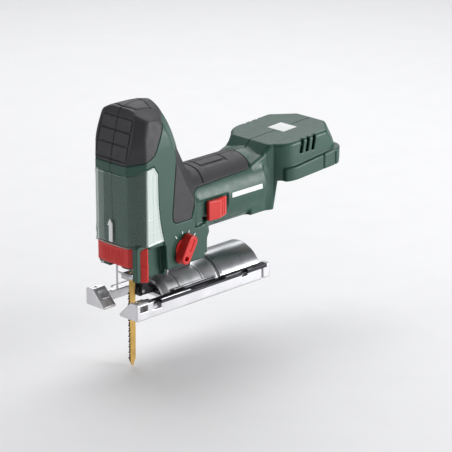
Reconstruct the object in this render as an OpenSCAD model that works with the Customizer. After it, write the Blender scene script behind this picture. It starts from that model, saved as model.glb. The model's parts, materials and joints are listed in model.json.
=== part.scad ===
// Cordless barrel-grip jigsaw, without its slide-on battery.
// +Z up, -X is the cutting direction, -Y is the tool's left side.
// The origin is the centre of the sole's underside.

/* [Sole] */
// Length of the sole plate
sole_l = 150; // [146:1:154]
// Width of the sole plate
sole_w = 60; // [58:1:62]
// Thickness of the flat plate
sole_t = 3.5; // [3:0.5:4]
// Height of the side rails
rail_h = 13; // [12:0.5:13.5]
// Outer radius of the half-round foot tube
tube_r = 20; // [19:0.5:20]
// Outer radius of the extraction hood behind it
hood_r = 26; // [25:0.5:27]
// Radius of the extraction socket at the rear
dust_r = 9.5; // [8:0.5:9.5]

/* [Housing] */
// Width of the head and the barrel
head_w = 58; // [57:0.5:59]
// Height of the head's top above the sole
top_z = 171; // [168:1:174]
// Radius of the barrel grip
barrel_r = 28; // [27.5:0.5:28.5]
// Wall thickness of the housing shells
wall = 2.5; // [2:0.1:2.8]
// Thickness of the rubber overmoulds
rubber_t = 1.6; // [1.2:0.1:1.8]
// Width of the battery foot over its skirt
foot_w = 75; // [74:1:78]

/* [Drive] */
// Plunger stroke
stroke = 22; // [18:1:22]
// Gear module
gear_mod = 1; // [0.95:0.05:1]
// Teeth on the motor pinion
pinion_teeth = 10; // [10:1:10]
// Teeth on the large gear
gear_teeth = 44; // [44:1:44]
// Plunger rod radius
rod_r = 4; // [3.5:0.1:4]

/* [Blade] */
// How far the blade reaches below the sole
blade_below = 51.4; // [40:1:60]
// Width of the blade
blade_w = 7.6; // [6.5:0.1:8]
// Thickness of the blade
blade_t = 1.3; // [1:0.1:1.5]
// Tooth pitch
tooth_pitch = 4; // [3:0.5:5]

/* [Controls] */
// Forward travel of the slide switch
switch_travel = 8; // [6:1:8]
// Downward travel of the chip guard
guard_travel = 24; // [20:1:24]
// Thickness of the chip guard's clear wall
guard_t = 1.5; // [1.2:0.1:1.5]

/* [Hidden] */
$fn = 48;
fit = 0.05;          // running clearance on a shaft
gap = 0.4;           // clearance between parts that slide past each other

// stations along X
front_x = -74.6;
head_rear_x = 4.4;
barrel_end_x = 74;
foot_front_x = 82;
foot_rear_x = 158;
blade_x = -57;                          // line of the tooth tips
plunger_x = -53;
gear_x0 = -38;
gear_x1 = -30;
case_x0 = -27;
case_x1 = -22;
can_x0 = 6;
can_x1 = 57;
knob_x = -22.2;
knob_z = 48.6;
fork_x = -34;
roller_x = -44.7;
tube_x0 = -33;
hood_x0 = 24;
hood_x1 = 70;
hood_plug_x = 55;
strap_x = [-15.7, 9.8];                 // thin straps that reach into the foot tube
strap_t = 1;
pin_x = -68.5;                          // hinge of the blade lever
pin_y = 17;
strap_screw_z = 29;

// levels along Z
barrel_z = 78;
belly_z = 34.5;                         // underside of the head
lever_z0 = 41;
lever_z1 = 57;
guard_z0 = 58;
guard_z1 = 118;
clamp_z0 = 24.4;
clamp_z1 = 38;
bush_z0 = 61;
bush_z1 = 71;
top_bush_z0 = 131;
top_bush_z1 = 141;
rod_top_z = 141.3;
fork_z = 44;
roller_z = 11.6;
roller_r = 4.6;

half_w = head_w / 2;
gear_z = barrel_z + gear_mod * (pinion_teeth + gear_teeth) / 2;
crank_r = stroke / 2;
seat = guard_t + gap;                   // how far the housing is set in behind the guard
body_r = barrel_r - wall;
button_x0 = 4.5;
pocket_y = 26.2;                        // floor of the slide buttons' pockets
can_r = 21.5;
magnet_r = 19.5;
shaft_r = 3;

// ---------------------------------------------------------------- helpers

// profile in X-Z, extruded across the tool
module across(width) {
    rotate([90, 0, 0]) linear_extrude(width, center = true) children();
}

// profile in Y-Z, extruded along X from x0 to x1
module along(x0, x1) {
    translate([x0, 0, 0]) rotate([90, 0, 90]) linear_extrude(x1 - x0) children();
}

module rod_x(x0, x1, r, y = 0, z = 0) {
    translate([x0, y, z]) rotate([0, 90, 0]) cylinder(h = x1 - x0, r = r);
}

module rod_y(y0, y1, r, x = 0, z = 0) {
    translate([x, y1, z]) rotate([90, 0, 0]) cylinder(h = y1 - y0, r = r);
}

module ring_x(x0, x1, r_in, r_out, y = 0, z = 0) {
    difference() {
        rod_x(x0, x1, r_out, y, z);
        rod_x(x0 - 1, x1 + 1, r_in, y, z);
    }
}

module block(x0, x1, y0, y1, z0, z1) {
    translate([x0, y0, z0]) cube([x1 - x0, y1 - y0, z1 - z0]);
}

// keep one side of the tool: -1 is left, 1 is right
module half(side) {
    intersection() {
        children();
        if (side < 0) block(-200, 300, -100, 0, -100, 300);
        else block(-200, 300, 0, 100, -100, 300);
    }
}

// plain involute-like teeth: straight flanks on a root disc, lying in X-Y
module toothed(teeth, mod, phase = 0) {
    pitch_r = teeth * mod / 2;
    step = 360 / teeth;
    root_r = pitch_r - 1.2 * mod;
    tip_r = pitch_r + 0.95 * mod;
    points = [for (i = [0 : teeth - 1]) let (a = i * step + phase) each [
        root_r * [cos(a - 0.36 * step), sin(a - 0.36 * step)],
        tip_r * [cos(a - 0.11 * step), sin(a - 0.11 * step)],
        tip_r * [cos(a + 0.11 * step), sin(a + 0.11 * step)],
        root_r * [cos(a + 0.36 * step), sin(a + 0.36 * step)]
    ]];
    polygon(points);
}

// arc of points from angle a to angle b
function arc(c, r, a, b, n = 6) =
    [for (i = [0 : n]) let (t = a + (b - a) * i / n) [c[0] + r * cos(t), c[1] + r * sin(t)]];

// ---------------------------------------------------------------- housing form

// side view of the head: front wall, domed top and sloping back
module head_side() {
    polygon(concat(
        [[front_x, belly_z], [front_x, 124], [-70.7, 141], [-65, 162.4]],
        [[-61.6, 167.4], [-52.5, 169.8]],
        arc([-37, top_z - 14], 14, 90, 33, 4),
        [[-14, 127], [2.7, 107], [head_rear_x + 16, 96], [head_rear_x + 16, 57.8]],
        arc([head_rear_x + 9, 48.8], 9, 90, 180, 6),
        [[head_rear_x, belly_z]]
    ));
}

// plan of the head: flat nose, 45 degree cheeks, straight sides
module head_plan() {
    nose = 18;
    cheek = half_w - nose;
    polygon([
        [front_x, -nose], [front_x + cheek + 2, -half_w], [40, -half_w],
        [40, half_w], [front_x + cheek + 2, half_w], [front_x, nose]
    ]);
}

// front view of the head: upright sides under a bevelled crown
module head_front() {
    polygon([
        [-half_w, 0], [-half_w, 137], [-26.3, 160], [-14, 167], [-4, top_z], [4, top_z],
        [14, 167], [26.3, 160], [half_w, 137], [half_w, 0]
    ]);
}

// the whole head, pulled in by t on every face
module head_form(t = 0) {
    difference() {
        intersection() {
            across(120) offset(delta = -t) head_side();
            translate([0, 0, -10]) linear_extrude(250) offset(delta = -t) head_plan();
            along(-100, 60) offset(delta = -t) head_front();
        }
        rear_bevel(-1, t);
        rear_bevel(1, t);
    }
}

// the back corners of the head are bevelled: steeply at the top, flatter towards the barrel
module rear_bevel(side, t) {
    intersection() {
        bevel_block([-42.9, side * half_w, 160], [0, 74.1, side * 45], t);
        bevel_block([-31.2, side * half_w, 131], [0, 60.8, side * 45], t);
    }
}

module bevel_block(corner, turn, t) {
    translate(corner) rotate(turn) translate([-100, -100, -t]) cube([200, 200, 100]);
}

module barrel_form(t = 0) {
    rod_x(-10, barrel_end_x, barrel_r - t, 0, barrel_z);
    // closed rear of the barrel, rising to the battery foot
    hull_r = barrel_r - 6 - t;
    along(barrel_end_x - 20, barrel_end_x + 8 - t) intersection() {
        translate([0, barrel_z]) circle(r = barrel_r - 1.5 - t);
        translate([-hull_r, 40]) square([2 * hull_r, 80]);
    }
}

// side view of the battery foot, which climbs slightly to the rear
module foot_side(t = 0) {
    offset(delta = -t) polygon([
        [barrel_end_x - 14, 98], [barrel_end_x, 103], [foot_front_x, 111],
        [foot_rear_x - 3, 115], [foot_rear_x, 97.5], [foot_rear_x - 6, 83], [foot_front_x + 6, 79],
        [foot_front_x + 4, 54], [barrel_end_x - 14, 54]
    ]);
}

// plan of the battery foot with rounded corners
module foot_plan(width, r_rear, t = 0) {
    h = width / 2;
    offset(delta = -t) polygon(concat(
        [[barrel_end_x - 14, 22], [barrel_end_x - 14, -22], [foot_front_x - 4, -22]],
        arc([foot_front_x + 12, -h + 12], 12, 205, 270, 4),
        arc([foot_rear_x - r_rear, -h + r_rear], r_rear, 270, 360, 5),
        arc([foot_rear_x - r_rear, h - r_rear], r_rear, 0, 90, 5),
        arc([foot_front_x + 12, h - 12], 12, 90, 155, 4),
        [[foot_front_x - 4, 22]]
    ));
}

module foot_form(t = 0) {
    intersection() {
        across(120) foot_side(t);
        linear_extrude(200) foot_plan(foot_w - 6, 18, t);
    }
    // the skirt that guides the battery stands proud below a step
    intersection() {
        across(120) intersection() {
            foot_side(t);
            polygon([
                [foot_front_x + 8, 60], [foot_front_x + 8, 90.5], [foot_rear_x + 5, 98.5],
                [foot_rear_x + 5, 60]
            ]);
        }
        linear_extrude(200) foot_plan(foot_w, 12, t);
    }
}

// everything the two shells enclose, pulled in by t
module body_form(t = 0) {
    head_form(t);
    barrel_form(t);
    foot_form(t);
}

// ---------------------------------------------------------------- rubber zones

// side view of the region covered by the head cap
module cap_zone() {
    polygon([
        [-90, 125], [-74, 125.2], [-59, 128.6], [-52.8, 131.8], [-46.7, 144], [-40.6, 156.8],
        [-20, 158.8], [12, 160.4], [12, 190], [-90, 190]
    ]);
}

// side view of the barrel overmould, a strip behind the head and a saddle on the barrel
module grip_zone() {
    polygon(concat(
        [[-29.2, 128.6], [-34.2, 80]],
        arc([-28.4, 76.5], 5.6, 170, 270, 3),
        [[-13.3, 71.1], [-10, 83.2], [-8, 90.6], [-2.8, 93.3], [50, 95]],
        arc([55, 102], 7, 270, 360, 3),
        [[62, 125], [5, 125], [-6, 133]]
    ));
}

module cap_form() {
    intersection() {
        difference() {
            head_form();
            head_form(rubber_t);
        }
        across(120) cap_zone();
    }
}

module grip_form() {
    intersection() {
        difference() {
            union() {
                head_form();
                barrel_form();
            }
            head_form(rubber_t);
            barrel_form(rubber_t);
            foot_form();
        }
        across(120) grip_zone();
    }
}

// ---------------------------------------------------------------- housing shells

// pocket around the lower front, where the guard slides and the lever sits
module front_recess() {
    difference() {
        across(120) polygon([
            [-90, guard_z1 + gap], [-50, guard_z1 + gap + 2], [-42.5, 56],
            [-42.5, guard_z0 - guard_travel - 2], [-90, guard_z0 - guard_travel - 2]
        ]);
        linear_extrude(200) offset(delta = -seat) head_plan();
    }
    // the lever has the whole depth of the nose below the guard
    block(-90, -65, -40, 40, 0, guard_z0 + 0.5);
    block(-90, -58, -40, -19.4, 0, guard_z0 + 0.5);
}

// wall and shelf that close the nose behind and above the lever
module nose_bulkhead() {
    difference() {
        union() {
            block(-65, -62.5, -19.2, 23.6, belly_z, guard_z0 + 2);
            block(-72, -62.5, -17, 17, guard_z0 + 0.5, guard_z0 + 3);
        }
        block(-66, -60, -14, 14, 0, 40);
    }
}

module lever_lugs() {
    intersection() {
        union() {
            block(-72, -62.5, pin_y - 4, pin_y + 4, 36, lever_z0 - 0.4);
            block(-72, -62.5, pin_y - 4, pin_y + 2.5, guard_z0 + 0.2, guard_z0 + 4);
        }
        linear_extrude(200) offset(delta = -seat) head_plan();
    }
}

// bay that the slide-on battery fills
module battery_bay() {
    block(foot_front_x + 12, foot_rear_x + 20, -30.5, 30.5, 60, 95);
}

// ledges that hold the battery
module battery_rails() {
    for (side = [-1, 1]) {
        translate([foot_front_x + 14, side < 0 ? -31 : 26.5, 84.5]) cube([56, 4.5, 3]);
    }
}

module inner_space() {
    difference() {
        union() {
            intersection() {
                head_form(wall + rubber_t);
                translate([seat, 0, 0]) head_form(wall + seat);
            }
            rod_x(-14, barrel_end_x + 5, body_r - rubber_t, 0, barrel_z);
        }
        // floor of the head
        block(-100, head_rear_x, -60, 60, 0, belly_z + wall);
    }
    // room for the electronics above the battery bay
    intersection() {
        foot_form(wall);
        block(foot_front_x - 4, foot_rear_x, -60, 60, 98, 130);
    }
    // passage from the barrel into the foot
    block(barrel_end_x, foot_front_x + 12, -13, 13, 84, 99);
}

module motor_ribs() {
    for (x = [can_x0 + 6, can_x1 - 8]) {
        difference() {
            ring_x(x, x + 3, can_r, body_r - rubber_t + 0.5, 0, barrel_z);
            block(x - 1, x + 4, -3, 3, 50, barrel_z - can_r + 3);
        }
    }
}

module vent_slots() {
    for (x = [107, 114, 121]) {
        for (side = [-1, 1]) {
            translate([x, side * 37, 100.8]) rotate([0, -11, 0]) translate([-1.6, -5.5, 0])
                cube([3.2, 11, 20]);
        }
    }
}

// places of the housing screws: [x, z, half length of the boss]
screw_sites = [
    [-39.7, 146.8, 24.2], [-64.5, 126.5, 22], [-10, 112, 13.4], [0.6, 43.6, 26], [78, 62, 20], [148, 103, 30]
];
boss_r = 4.4;
screw_r = 1.55;
screw_head_r = 3.3;

module bosses() {
    for (p = screw_sites) rod_y(-p[2], p[2], boss_r, p[0], p[1]);
}

// pilot bore, clearance bore and head recess of each screw
module boss_bores() {
    for (p = screw_sites) {
        rod_y(-12, p[2], screw_r, p[0], p[1]);
        rod_y(p[2] - 6, 60, screw_head_r + 0.1, p[0], p[1]);
    }
}

// recess around each slide button, and the slot its link passes through
module button_pockets() {
    for (side = [-1, 1]) mirror([0, side < 0 ? 1 : 0, 0]) {
        block(button_x0 - switch_travel - 2, 29, pocket_y, 40, 63.5, 83);
        block(10 - switch_travel - 0.8, 14.8, 15, 40, 64.5, 69.5);
    }
}

module housing(side) {
    half(side) difference() {
        union() {
            difference() {
                body_form();
                cap_form();
                grip_form();
                inner_space();
                front_recess();
                battery_bay();
                vent_slots();
            }
            intersection() {
                motor_ribs();
                barrel_form(1);
            }
            nose_bulkhead();
            lever_lugs();
            battery_rails();
            bosses();
        }
        boss_bores();
        button_pockets();
        // slot in the belly for the gear case's leg and the roller fork
        block(-48, 12, -11, 11, 0, belly_z + wall + 2.2);
        // bore for the lever's pin
        translate([pin_x, pin_y, 30]) cylinder(h = 31.1, r = 1.5);
        // clear way for the blade clamp and its stroke
        block(-62.4, -42, -12, 12, 0, bush_z0 - 0.2);
        // bore for the selector's stem, left side only
        rod_y(-40, 0, 4.1, knob_x, knob_z);
        // round recess around the selector
        rod_y(-40, -half_w + 1.2, 12, knob_x, knob_z);
        // hole for the guard wire's bent end
        rod_x(-70, -58, 0.8, 0, 44);
    }
}

module housing_left() {
    color([0.16, 0.32, 0.27]) housing(-1);
}

module housing_right() {
    color([0.16, 0.32, 0.27]) housing(1);
}

module head_cap_left() {
    color([0.22, 0.22, 0.24]) half(-1) cap_form();
}

module head_cap_right() {
    color([0.22, 0.22, 0.24]) half(1) cap_form();
}

module barrel_grip_left() {
    color([0.22, 0.22, 0.24]) half(-1) grip_form();
}

module barrel_grip_right() {
    color([0.22, 0.22, 0.24]) half(1) grip_form();
}

module housing_screws() {
    color([0.25, 0.25, 0.27]) for (p = screw_sites) {
        difference() {
            union() {
                rod_y(p[2] - 6, p[2] - 3.4, screw_head_r, p[0], p[1]);
                rod_y(-11, p[2] - 6, screw_r, p[0], p[1]);
            }
            rod_y(p[2] - 5, p[2], 1.5, p[0], p[1], $fn = 6);
        }
    }
}

module side_stripe() {
    color([0.92, 0.94, 0.93]) intersection() {
        ring_x(33, 68, barrel_r, barrel_r + 0.3, 0, barrel_z);
        block(33, 68, -40, 0, 78, 82);
    }
}

module rating_label() {
    color([0.9, 0.88, 0.86]) intersection() {
        across(18) polygon([[102, 112.1], [138, 114.07], [138, 114.4], [102, 112.43]]);
        block(112, 128, -9, 9, 100, 130);
    }
}

// ---------------------------------------------------------------- fixed drive parts

module gear_case() {
    color([0.72, 0.73, 0.75]) difference() {
        union() {
            // upright plate behind the gear
            block(case_x0, case_x1, -24, 24, bush_z0, 98);
            block(case_x0, case_x1, -15, 15, 97, 128);
            block(case_x0, case_x1, -8, 8, 127, 136);
            // arms that carry the plunger's bushes
            block(-60, case_x0, -10, 10, top_bush_z0, top_bush_z1);
            block(-60, case_x0, -11, 11, bush_z0, bush_z1);
            // seat of the front bearing
            rod_x(case_x1 - 1, -14, 13, 0, barrel_z);
            // web between the plate and the leg
            block(case_x0, strap_x[0] + 1, -10, 10, 57, bush_z1);
            // ears of the roller fork
            for (side = [-1, 1]) {
                translate([-40, side < 0 ? -9 : 5.4, 39]) cube([12, 3.6, bush_z0 - 39]);
            }
            // leg that stands on the foot tube, tapered to clear the tilted rails
            along(strap_x[0] + strap_t / 2, strap_x[1] - strap_t / 2) polygon([
                [-3.2, tube_r], [3.2, tube_r], [3.2, 23], [10, 31], [10, belly_z],
                [-10, belly_z], [-10, 31], [-3.2, 23]
            ]);
            block(strap_x[0] + strap_t / 2, head_rear_x - 5, -10, 10, belly_z - 1, bush_z0 + 1);
        }
        translate([plunger_x, 0, 0]) cylinder(h = 200, r = 6.5);
        rod_x(-60, 0, shaft_r + 3.5, 0, barrel_z);
        rod_x(-21.5, 0, 11, 0, barrel_z);
        rod_x(case_x0 - 1, case_x1 + 1, 4, 0, gear_z);
        rod_y(-20, 20, 2, fork_x, fork_z);
        rod_x(-60, 60, tube_r + 0.3);
        // clearance for the selector's stem and its cam
        block(knob_x - 7, knob_x + 7, -12, 12, knob_z - 7, knob_z + 7);
        rod_x(-20, 20, 2, 0, strap_screw_z);
        // way through for the switch link and for a housing boss
        block(-9.5, head_rear_x, -12, 12, 53, 75);
        rod_y(-20, 20, boss_r + 0.2, 0.6, 43.6);
    }
}

module lower_bush() {
    color([0.75, 0.6, 0.35]) translate([plunger_x, 0, bush_z0]) difference() {
        cylinder(h = bush_z1 - bush_z0, r = 6.5);
        translate([0, 0, -1]) cylinder(h = 20, r = rod_r + fit);
    }
}

module upper_bush() {
    color([0.75, 0.6, 0.35]) translate([plunger_x, 0, top_bush_z0]) difference() {
        cylinder(h = top_bush_z1 - top_bush_z0, r = 6.5);
        translate([0, 0, -1]) cylinder(h = 20, r = rod_r + fit);
    }
}

module gear_axle() {
    color([0.7, 0.7, 0.72]) rod_x(gear_x0 - 0.5, case_x1, 4, 0, gear_z);
}

module front_bearing() {
    color([0.75, 0.75, 0.78]) ring_x(-21.5, -14.5, shaft_r + fit, 11, 0, barrel_z);
}

module rear_bearing() {
    color([0.75, 0.75, 0.78]) ring_x(can_x1 + 1, can_x1 + 7, shaft_r + fit, 8, 0, barrel_z);
}

module motor_can() {
    color([0.6, 0.6, 0.63]) difference() {
        rod_x(can_x0, can_x1, can_r, 0, barrel_z);
        rod_x(can_x0 + 2, can_x1 + 1, magnet_r, 0, barrel_z);
        rod_x(can_x0 - 1, can_x0 + 3, 7, 0, barrel_z);
    }
}

module motor_magnets() {
    color([0.3, 0.3, 0.32]) for (turn = [0, 180]) {
        translate([can_x0 + 8, 0, barrel_z]) rotate([turn, 0, 0]) rotate([0, 90, 0])
            rotate([0, 0, -60]) rotate_extrude(angle = 120) translate([15.5, 0])
            square([magnet_r - 15.5, 32]);
    }
}

module motor_end_bell() {
    color([0.15, 0.15, 0.16]) difference() {
        rod_x(can_x1, can_x1 + 7, can_r, 0, barrel_z);
        rod_x(can_x1 + 1, can_x1 + 8, 8, 0, barrel_z);
        rod_x(can_x1 - 1, can_x1 + 8, 5, 0, barrel_z);
    }
}

module brush_holders() {
    color([0.72, 0.58, 0.3]) for (side = [-1, 1]) {
        difference() {
            block(can_x1 - 7, can_x1 - 0.5, side * 13 - 4, side * 13 + 4, barrel_z - 4, barrel_z + 4);
            block(can_x1 - 8, can_x1, side * 13 - 5, side * 13 + 5, barrel_z - 3, barrel_z + 3);
        }
    }
}

module carbon_brushes() {
    color([0.12, 0.12, 0.12]) for (side = [-1, 1]) {
        difference() {
            block(can_x1 - 6.5, can_x1 - 1, side * 12 - 4, side * 12 + 4, barrel_z - 3, barrel_z + 3);
            rod_x(can_x1 - 9, can_x1, 8.1, 0, barrel_z);
        }
    }
}

module switch_module() {
    color([0.1, 0.1, 0.1]) block(77, 90, -9, 9, 85, 99);
}

module control_board() {
    color([0.1, 0.35, 0.2]) difference() {
        block(96, 140, -26, 26, 104, 105.6);
        for (side = [-1, 1]) translate([136, side * 22, 100]) cylinder(h = 10, r = 1.6);
    }
}

module terminal_block() {
    color([0.1, 0.1, 0.1]) difference() {
        block(97, 132, -24, 24, 90, 95);
        block(99, 130, -25, 25, 89, 91.5);
    }
}

module battery_contacts() {
    color([0.8, 0.65, 0.3]) for (y = [-18, -9, 0, 9, 18]) {
        block(102, 122, y - 0.5, y + 0.5, 82, 91.5);
    }
}

module lever_pin() {
    color([0.7, 0.7, 0.72]) translate([pin_x, pin_y, 37]) cylinder(h = 24, r = 1.5);
}

module fork_pin() {
    color([0.7, 0.7, 0.72]) rod_y(-9, 9, 2, fork_x, fork_z);
}

module guard_wire() {
    color([0.6, 0.6, 0.62]) {
        translate([pin_x, 0, 18.7]) cylinder(h = 44.8 - 18.7, r = 0.8);
        rod_x(pin_x, -61.5, 0.8, 0, 44);
    }
}

// clamp shoe inside the foot tube, held by two thin straps that pass through
// the tube's narrow curved slots
module bevel_shoe() {
    color([0.55, 0.55, 0.58]) difference() {
        union() {
            intersection() {
                ring_x(strap_x[0] - strap_t / 2, strap_x[1] + strap_t / 2, 13, tube_r - 3.3);
                along(-25, 15) polygon([[0, 0], [-6.5, 18], [6.5, 18]]);
            }
            for (x = strap_x) block(x - strap_t / 2, x + strap_t / 2, -3, 3, 15, 33);
        }
        rod_x(-20, 20, 2, 0, strap_screw_z);
    }
}

// one screw at each strap, along the tool
module bevel_screws() {
    color([0.2, 0.2, 0.22]) for (side = [-1, 1]) {
        x = side < 0 ? strap_x[0] - strap_t / 2 : strap_x[1] + strap_t / 2;
        difference() {
            union() {
                rod_x(min(x, x + 2.2 * side), max(x, x + 2.2 * side), 2.9, 0, strap_screw_z);
                rod_x(min(x, x - 10 * side), max(x, x - 10 * side), 2, 0, strap_screw_z);
            }
            rod_x(min(x + side, x + 3 * side), max(x + side, x + 3 * side), 1.5, 0, strap_screw_z,
                $fn = 6);
        }
    }
}

// ---------------------------------------------------------------- rotor

module rotor_shaft() {
    color([0.75, 0.75, 0.78]) rod_x(gear_x0, 71.5, shaft_r, 0, barrel_z);
}

module rotor_core() {
    color([0.45, 0.45, 0.47]) difference() {
        rod_x(can_x0 + 9, can_x0 + 38, 14.6, 0, barrel_z);
        rod_x(can_x0, can_x0 + 40, shaft_r, 0, barrel_z);
        for (a = [0 : 30 : 330]) {
            translate([can_x0 + 8, 0, barrel_z]) rotate([a, 0, 0]) translate([0, -1, 11])
                cube([32, 2, 5]);
        }
    }
}

module rotor_windings() {
    color([0.7, 0.38, 0.2]) {
        ring_x(can_x0 + 4, can_x0 + 9, shaft_r + 1, 12, 0, barrel_z);
        ring_x(can_x0 + 38, can_x0 + 42.5, shaft_r + 1, 12, 0, barrel_z);
    }
}

module commutator() {
    color([0.75, 0.5, 0.3]) ring_x(can_x1 - 8, can_x1 - 0.5, shaft_r, 8, 0, barrel_z);
}

module cooling_fan() {
    color([0.2, 0.2, 0.22]) {
        ring_x(65.5, 71, shaft_r, 6, 0, barrel_z);
        ring_x(65.5, 66.5, shaft_r, 20, 0, barrel_z);
        for (a = [10 : 40 : 330]) {
            translate([66, 0, barrel_z]) rotate([a, 0, 0]) translate([0, -0.6, 4.8])
                cube([4.6, 1.2, 14.4]);
        }
    }
}

module drive_pinion() {
    color([0.6, 0.6, 0.62]) difference() {
        translate([gear_x0, 0, barrel_z]) rotate([90, 0, 90]) linear_extrude(gear_x1 - gear_x0)
            toothed(pinion_teeth, gear_mod, 90);
        rod_x(gear_x0 - 1, gear_x1 + 1, shaft_r, 0, barrel_z);
    }
}

// ---------------------------------------------------------------- gear

module drive_gear() {
    color([0.5, 0.5, 0.53]) difference() {
        translate([gear_x0, 0, gear_z]) rotate([90, 0, 90]) linear_extrude(gear_x1 - gear_x0)
            toothed(gear_teeth, gear_mod, -90 + 180 / gear_teeth);
        rod_x(gear_x0 - 1, gear_x1 + 1, 6, 0, gear_z);
        rod_x(gear_x0 - 1, gear_x1 + 1, 3.5, 0, gear_z - crank_r);
        // lightening holes opposite the crank
        for (a = [90 - 45, 90, 90 + 45]) {
            rod_x(gear_x0 - 1, gear_x1 + 1, 3.5, 13.5 * cos(a), gear_z + 13.5 * sin(a));
        }
    }
}

module gear_bush() {
    color([0.75, 0.6, 0.35]) ring_x(gear_x0, gear_x1 + 2, 4 + fit, 6, 0, gear_z);
}

// stops just short of the yoke, because the crank's motion isn't a constant ratio
module eccentric_pin() {
    color([0.75, 0.75, 0.78]) rod_x(gear_x0 - 5.3, gear_x1, 3.5, 0, gear_z - crank_r);
}

// ---------------------------------------------------------------- plunger

module plunger_rod() {
    color([0.8, 0.8, 0.82]) translate([plunger_x, 0, clamp_z1 - 6])
        cylinder(h = rod_top_z - clamp_z1 + 6, r = rod_r);
}

module yoke() {
    slot = crank_r + 3.7;
    yoke_z = gear_z - crank_r;
    color([0.65, 0.65, 0.68]) difference() {
        block(plunger_x - 2, gear_x0 - 5.8, -slot - 2.4, slot + 2.4, yoke_z - 6.5, yoke_z + 6.5);
        block(-47.5, -40, -slot, slot, yoke_z - 3.8, yoke_z + 3.8);
        translate([plunger_x, 0, 50]) cylinder(h = 80, r = rod_r);
    }
}

module clamp_body() {
    color([0.6, 0.61, 0.63]) difference() {
        union() {
            block(-61, -45.5, -8, 8, 28.4, clamp_z1 - 4);
            block(-60, -46, -4.9, 4.9, clamp_z0, 29);
        }
        translate([plunger_x, 0, clamp_z1 - 6]) cylinder(h = 10, r = rod_r);
        block(-58, -48, -blade_t / 2, blade_t / 2, 20, clamp_z1 - 6);
    }
}

module clamp_sleeve() {
    color([0.3, 0.3, 0.32]) translate([plunger_x, 0, clamp_z1 - 4]) difference() {
        cylinder(h = 4, r = 8);
        translate([0, 0, -1]) cylinder(h = 10, r = rod_r);
    }
}

module saw_blade() {
    teeth_top = 14;
    count = floor((teeth_top + blade_below - 6) / tooth_pitch);
    depth = 1.4;
    back = blade_x + blade_w;
    teeth = [for (i = [0 : count - 1]) each [
        [blade_x + depth, teeth_top - i * tooth_pitch],
        [blade_x, teeth_top - (i + 0.85) * tooth_pitch]
    ]];
    color([0.8, 0.62, 0.25]) rotate([90, 0, 0]) linear_extrude(blade_t, center = true)
        polygon(concat(
            teeth,
            [[blade_x + 2.4, 1 - blade_below], [blade_x + 4, -blade_below]],
            [[back - 0.6, 6 - blade_below], [back, 12], [back, clamp_z0 + 1]],
            [[back - 2, clamp_z0 + 2], [back - 2, clamp_z1 - 6]],
            [[blade_x + 2, clamp_z1 - 6], [blade_x + 2, clamp_z0 + 2], [blade_x + depth, clamp_z0]]
        ));
}

// ---------------------------------------------------------------- user controls

module blade_lever() {
    outer = 1.9;
    thick = 2.8;
    color([0.82, 0.1, 0.08]) difference() {
        union() {
            intersection() {
                translate([0, 0, lever_z0]) linear_extrude(lever_z1 - lever_z0) difference() {
                    offset(delta = -outer) head_plan();
                    offset(delta = -outer - thick) head_plan();
                }
                block(-90, -59.6, -40, 19.2, 0, 100);
            }
            // finger tab at the free end
            intersection() {
                translate([0, 0, 30]) linear_extrude(20) difference() {
                    offset(delta = -outer) head_plan();
                    offset(delta = -outer - thick) head_plan();
                }
                block(-65, -59.6, -40, -20, 0, 60);
            }
            // hinge knuckle
            translate([pin_x, pin_y, lever_z0]) cylinder(h = lever_z1 - lever_z0, r = 3.2);
        }
        translate([pin_x, pin_y, 0]) cylinder(h = 100, r = 1.5 + fit);
    }
}

module chip_guard() {
    color([0.75, 0.9, 0.85, 0.45]) {
        intersection() {
            translate([0, 0, guard_z0]) linear_extrude(guard_z1 - guard_z0) difference() {
                head_plan();
                offset(delta = -guard_t) head_plan();
            }
            across(120) polygon([
                [-90, 50], [-90, 130], [-50.5, 130], [-50.5, 106], [-48, 90], [-43.4, guard_z0 + 2],
                [-52, guard_z0 - 1]
            ]);
        }
    }
}

module roller_fork() {
    color([0.18, 0.18, 0.2]) difference() {
        union() {
            for (side = [-1, 1]) {
                translate([0, side * 3.9, 0]) hull() {
                    rod_y(-0.9, 0.9, 4.6, fork_x, fork_z);
                    rod_y(-0.9, 0.9, 3, roller_x + 1, roller_z + 1);
                }
                translate([0, side * 3.9, 0]) across(1.8) polygon([
                    [roller_x, 8.6], [-31, 8.2], [-31, 10.8], [-40, 15]
                ]);
            }
            rod_y(-4.8, 4.8, 4.6, fork_x, fork_z);
            // tail bar that rides in the mouth of the foot tube
            rod_y(-10, 10, 1.3, -31, 9.5);
        }
        rod_y(-20, 20, 2 + fit, fork_x, fork_z);
        rod_y(-20, 20, 1.5, roller_x, roller_z);
        block(-52, -38.6, -3, 3, 4, 22);
    }
}

module roller_pin() {
    color([0.7, 0.7, 0.72]) rod_y(-4.8, 4.8, 1.5, roller_x, roller_z);
}

module guide_roller() {
    color([0.3, 0.3, 0.32]) difference() {
        rod_y(-2.6, 2.6, roller_r, roller_x, roller_z);
        rod_y(-4, 4, 1.5 + fit, roller_x, roller_z);
    }
}

module selector_knob() {
    color([0.82, 0.1, 0.08]) difference() {
        union() {
            rod_y(-half_w + 0.1, -half_w + 0.9, 8.5, knob_x, knob_z);
            translate([knob_x, -half_w - 3, knob_z]) rotate([90, 0, 0]) rotate([0, 0, -30])
                linear_extrude(8, center = true) union() {
                    square([9.5, 15], center = true);
                    translate([0, 7]) circle(r = 4.75);
                    translate([0, -7]) circle(r = 4.75);
                }
        }
        translate([knob_x, -half_w - 6, knob_z]) rotate([90, 0, 0]) rotate([0, 0, -30])
            translate([0, -7.5]) cylinder(h = 6, r = 2);
    }
}

module selector_cam() {
    color([0.6, 0.6, 0.62]) {
        rod_y(-half_w + 1, -3, 4, knob_x, knob_z);
        rod_y(-9, -3, 5.5, knob_x, knob_z);
    }
}

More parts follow.
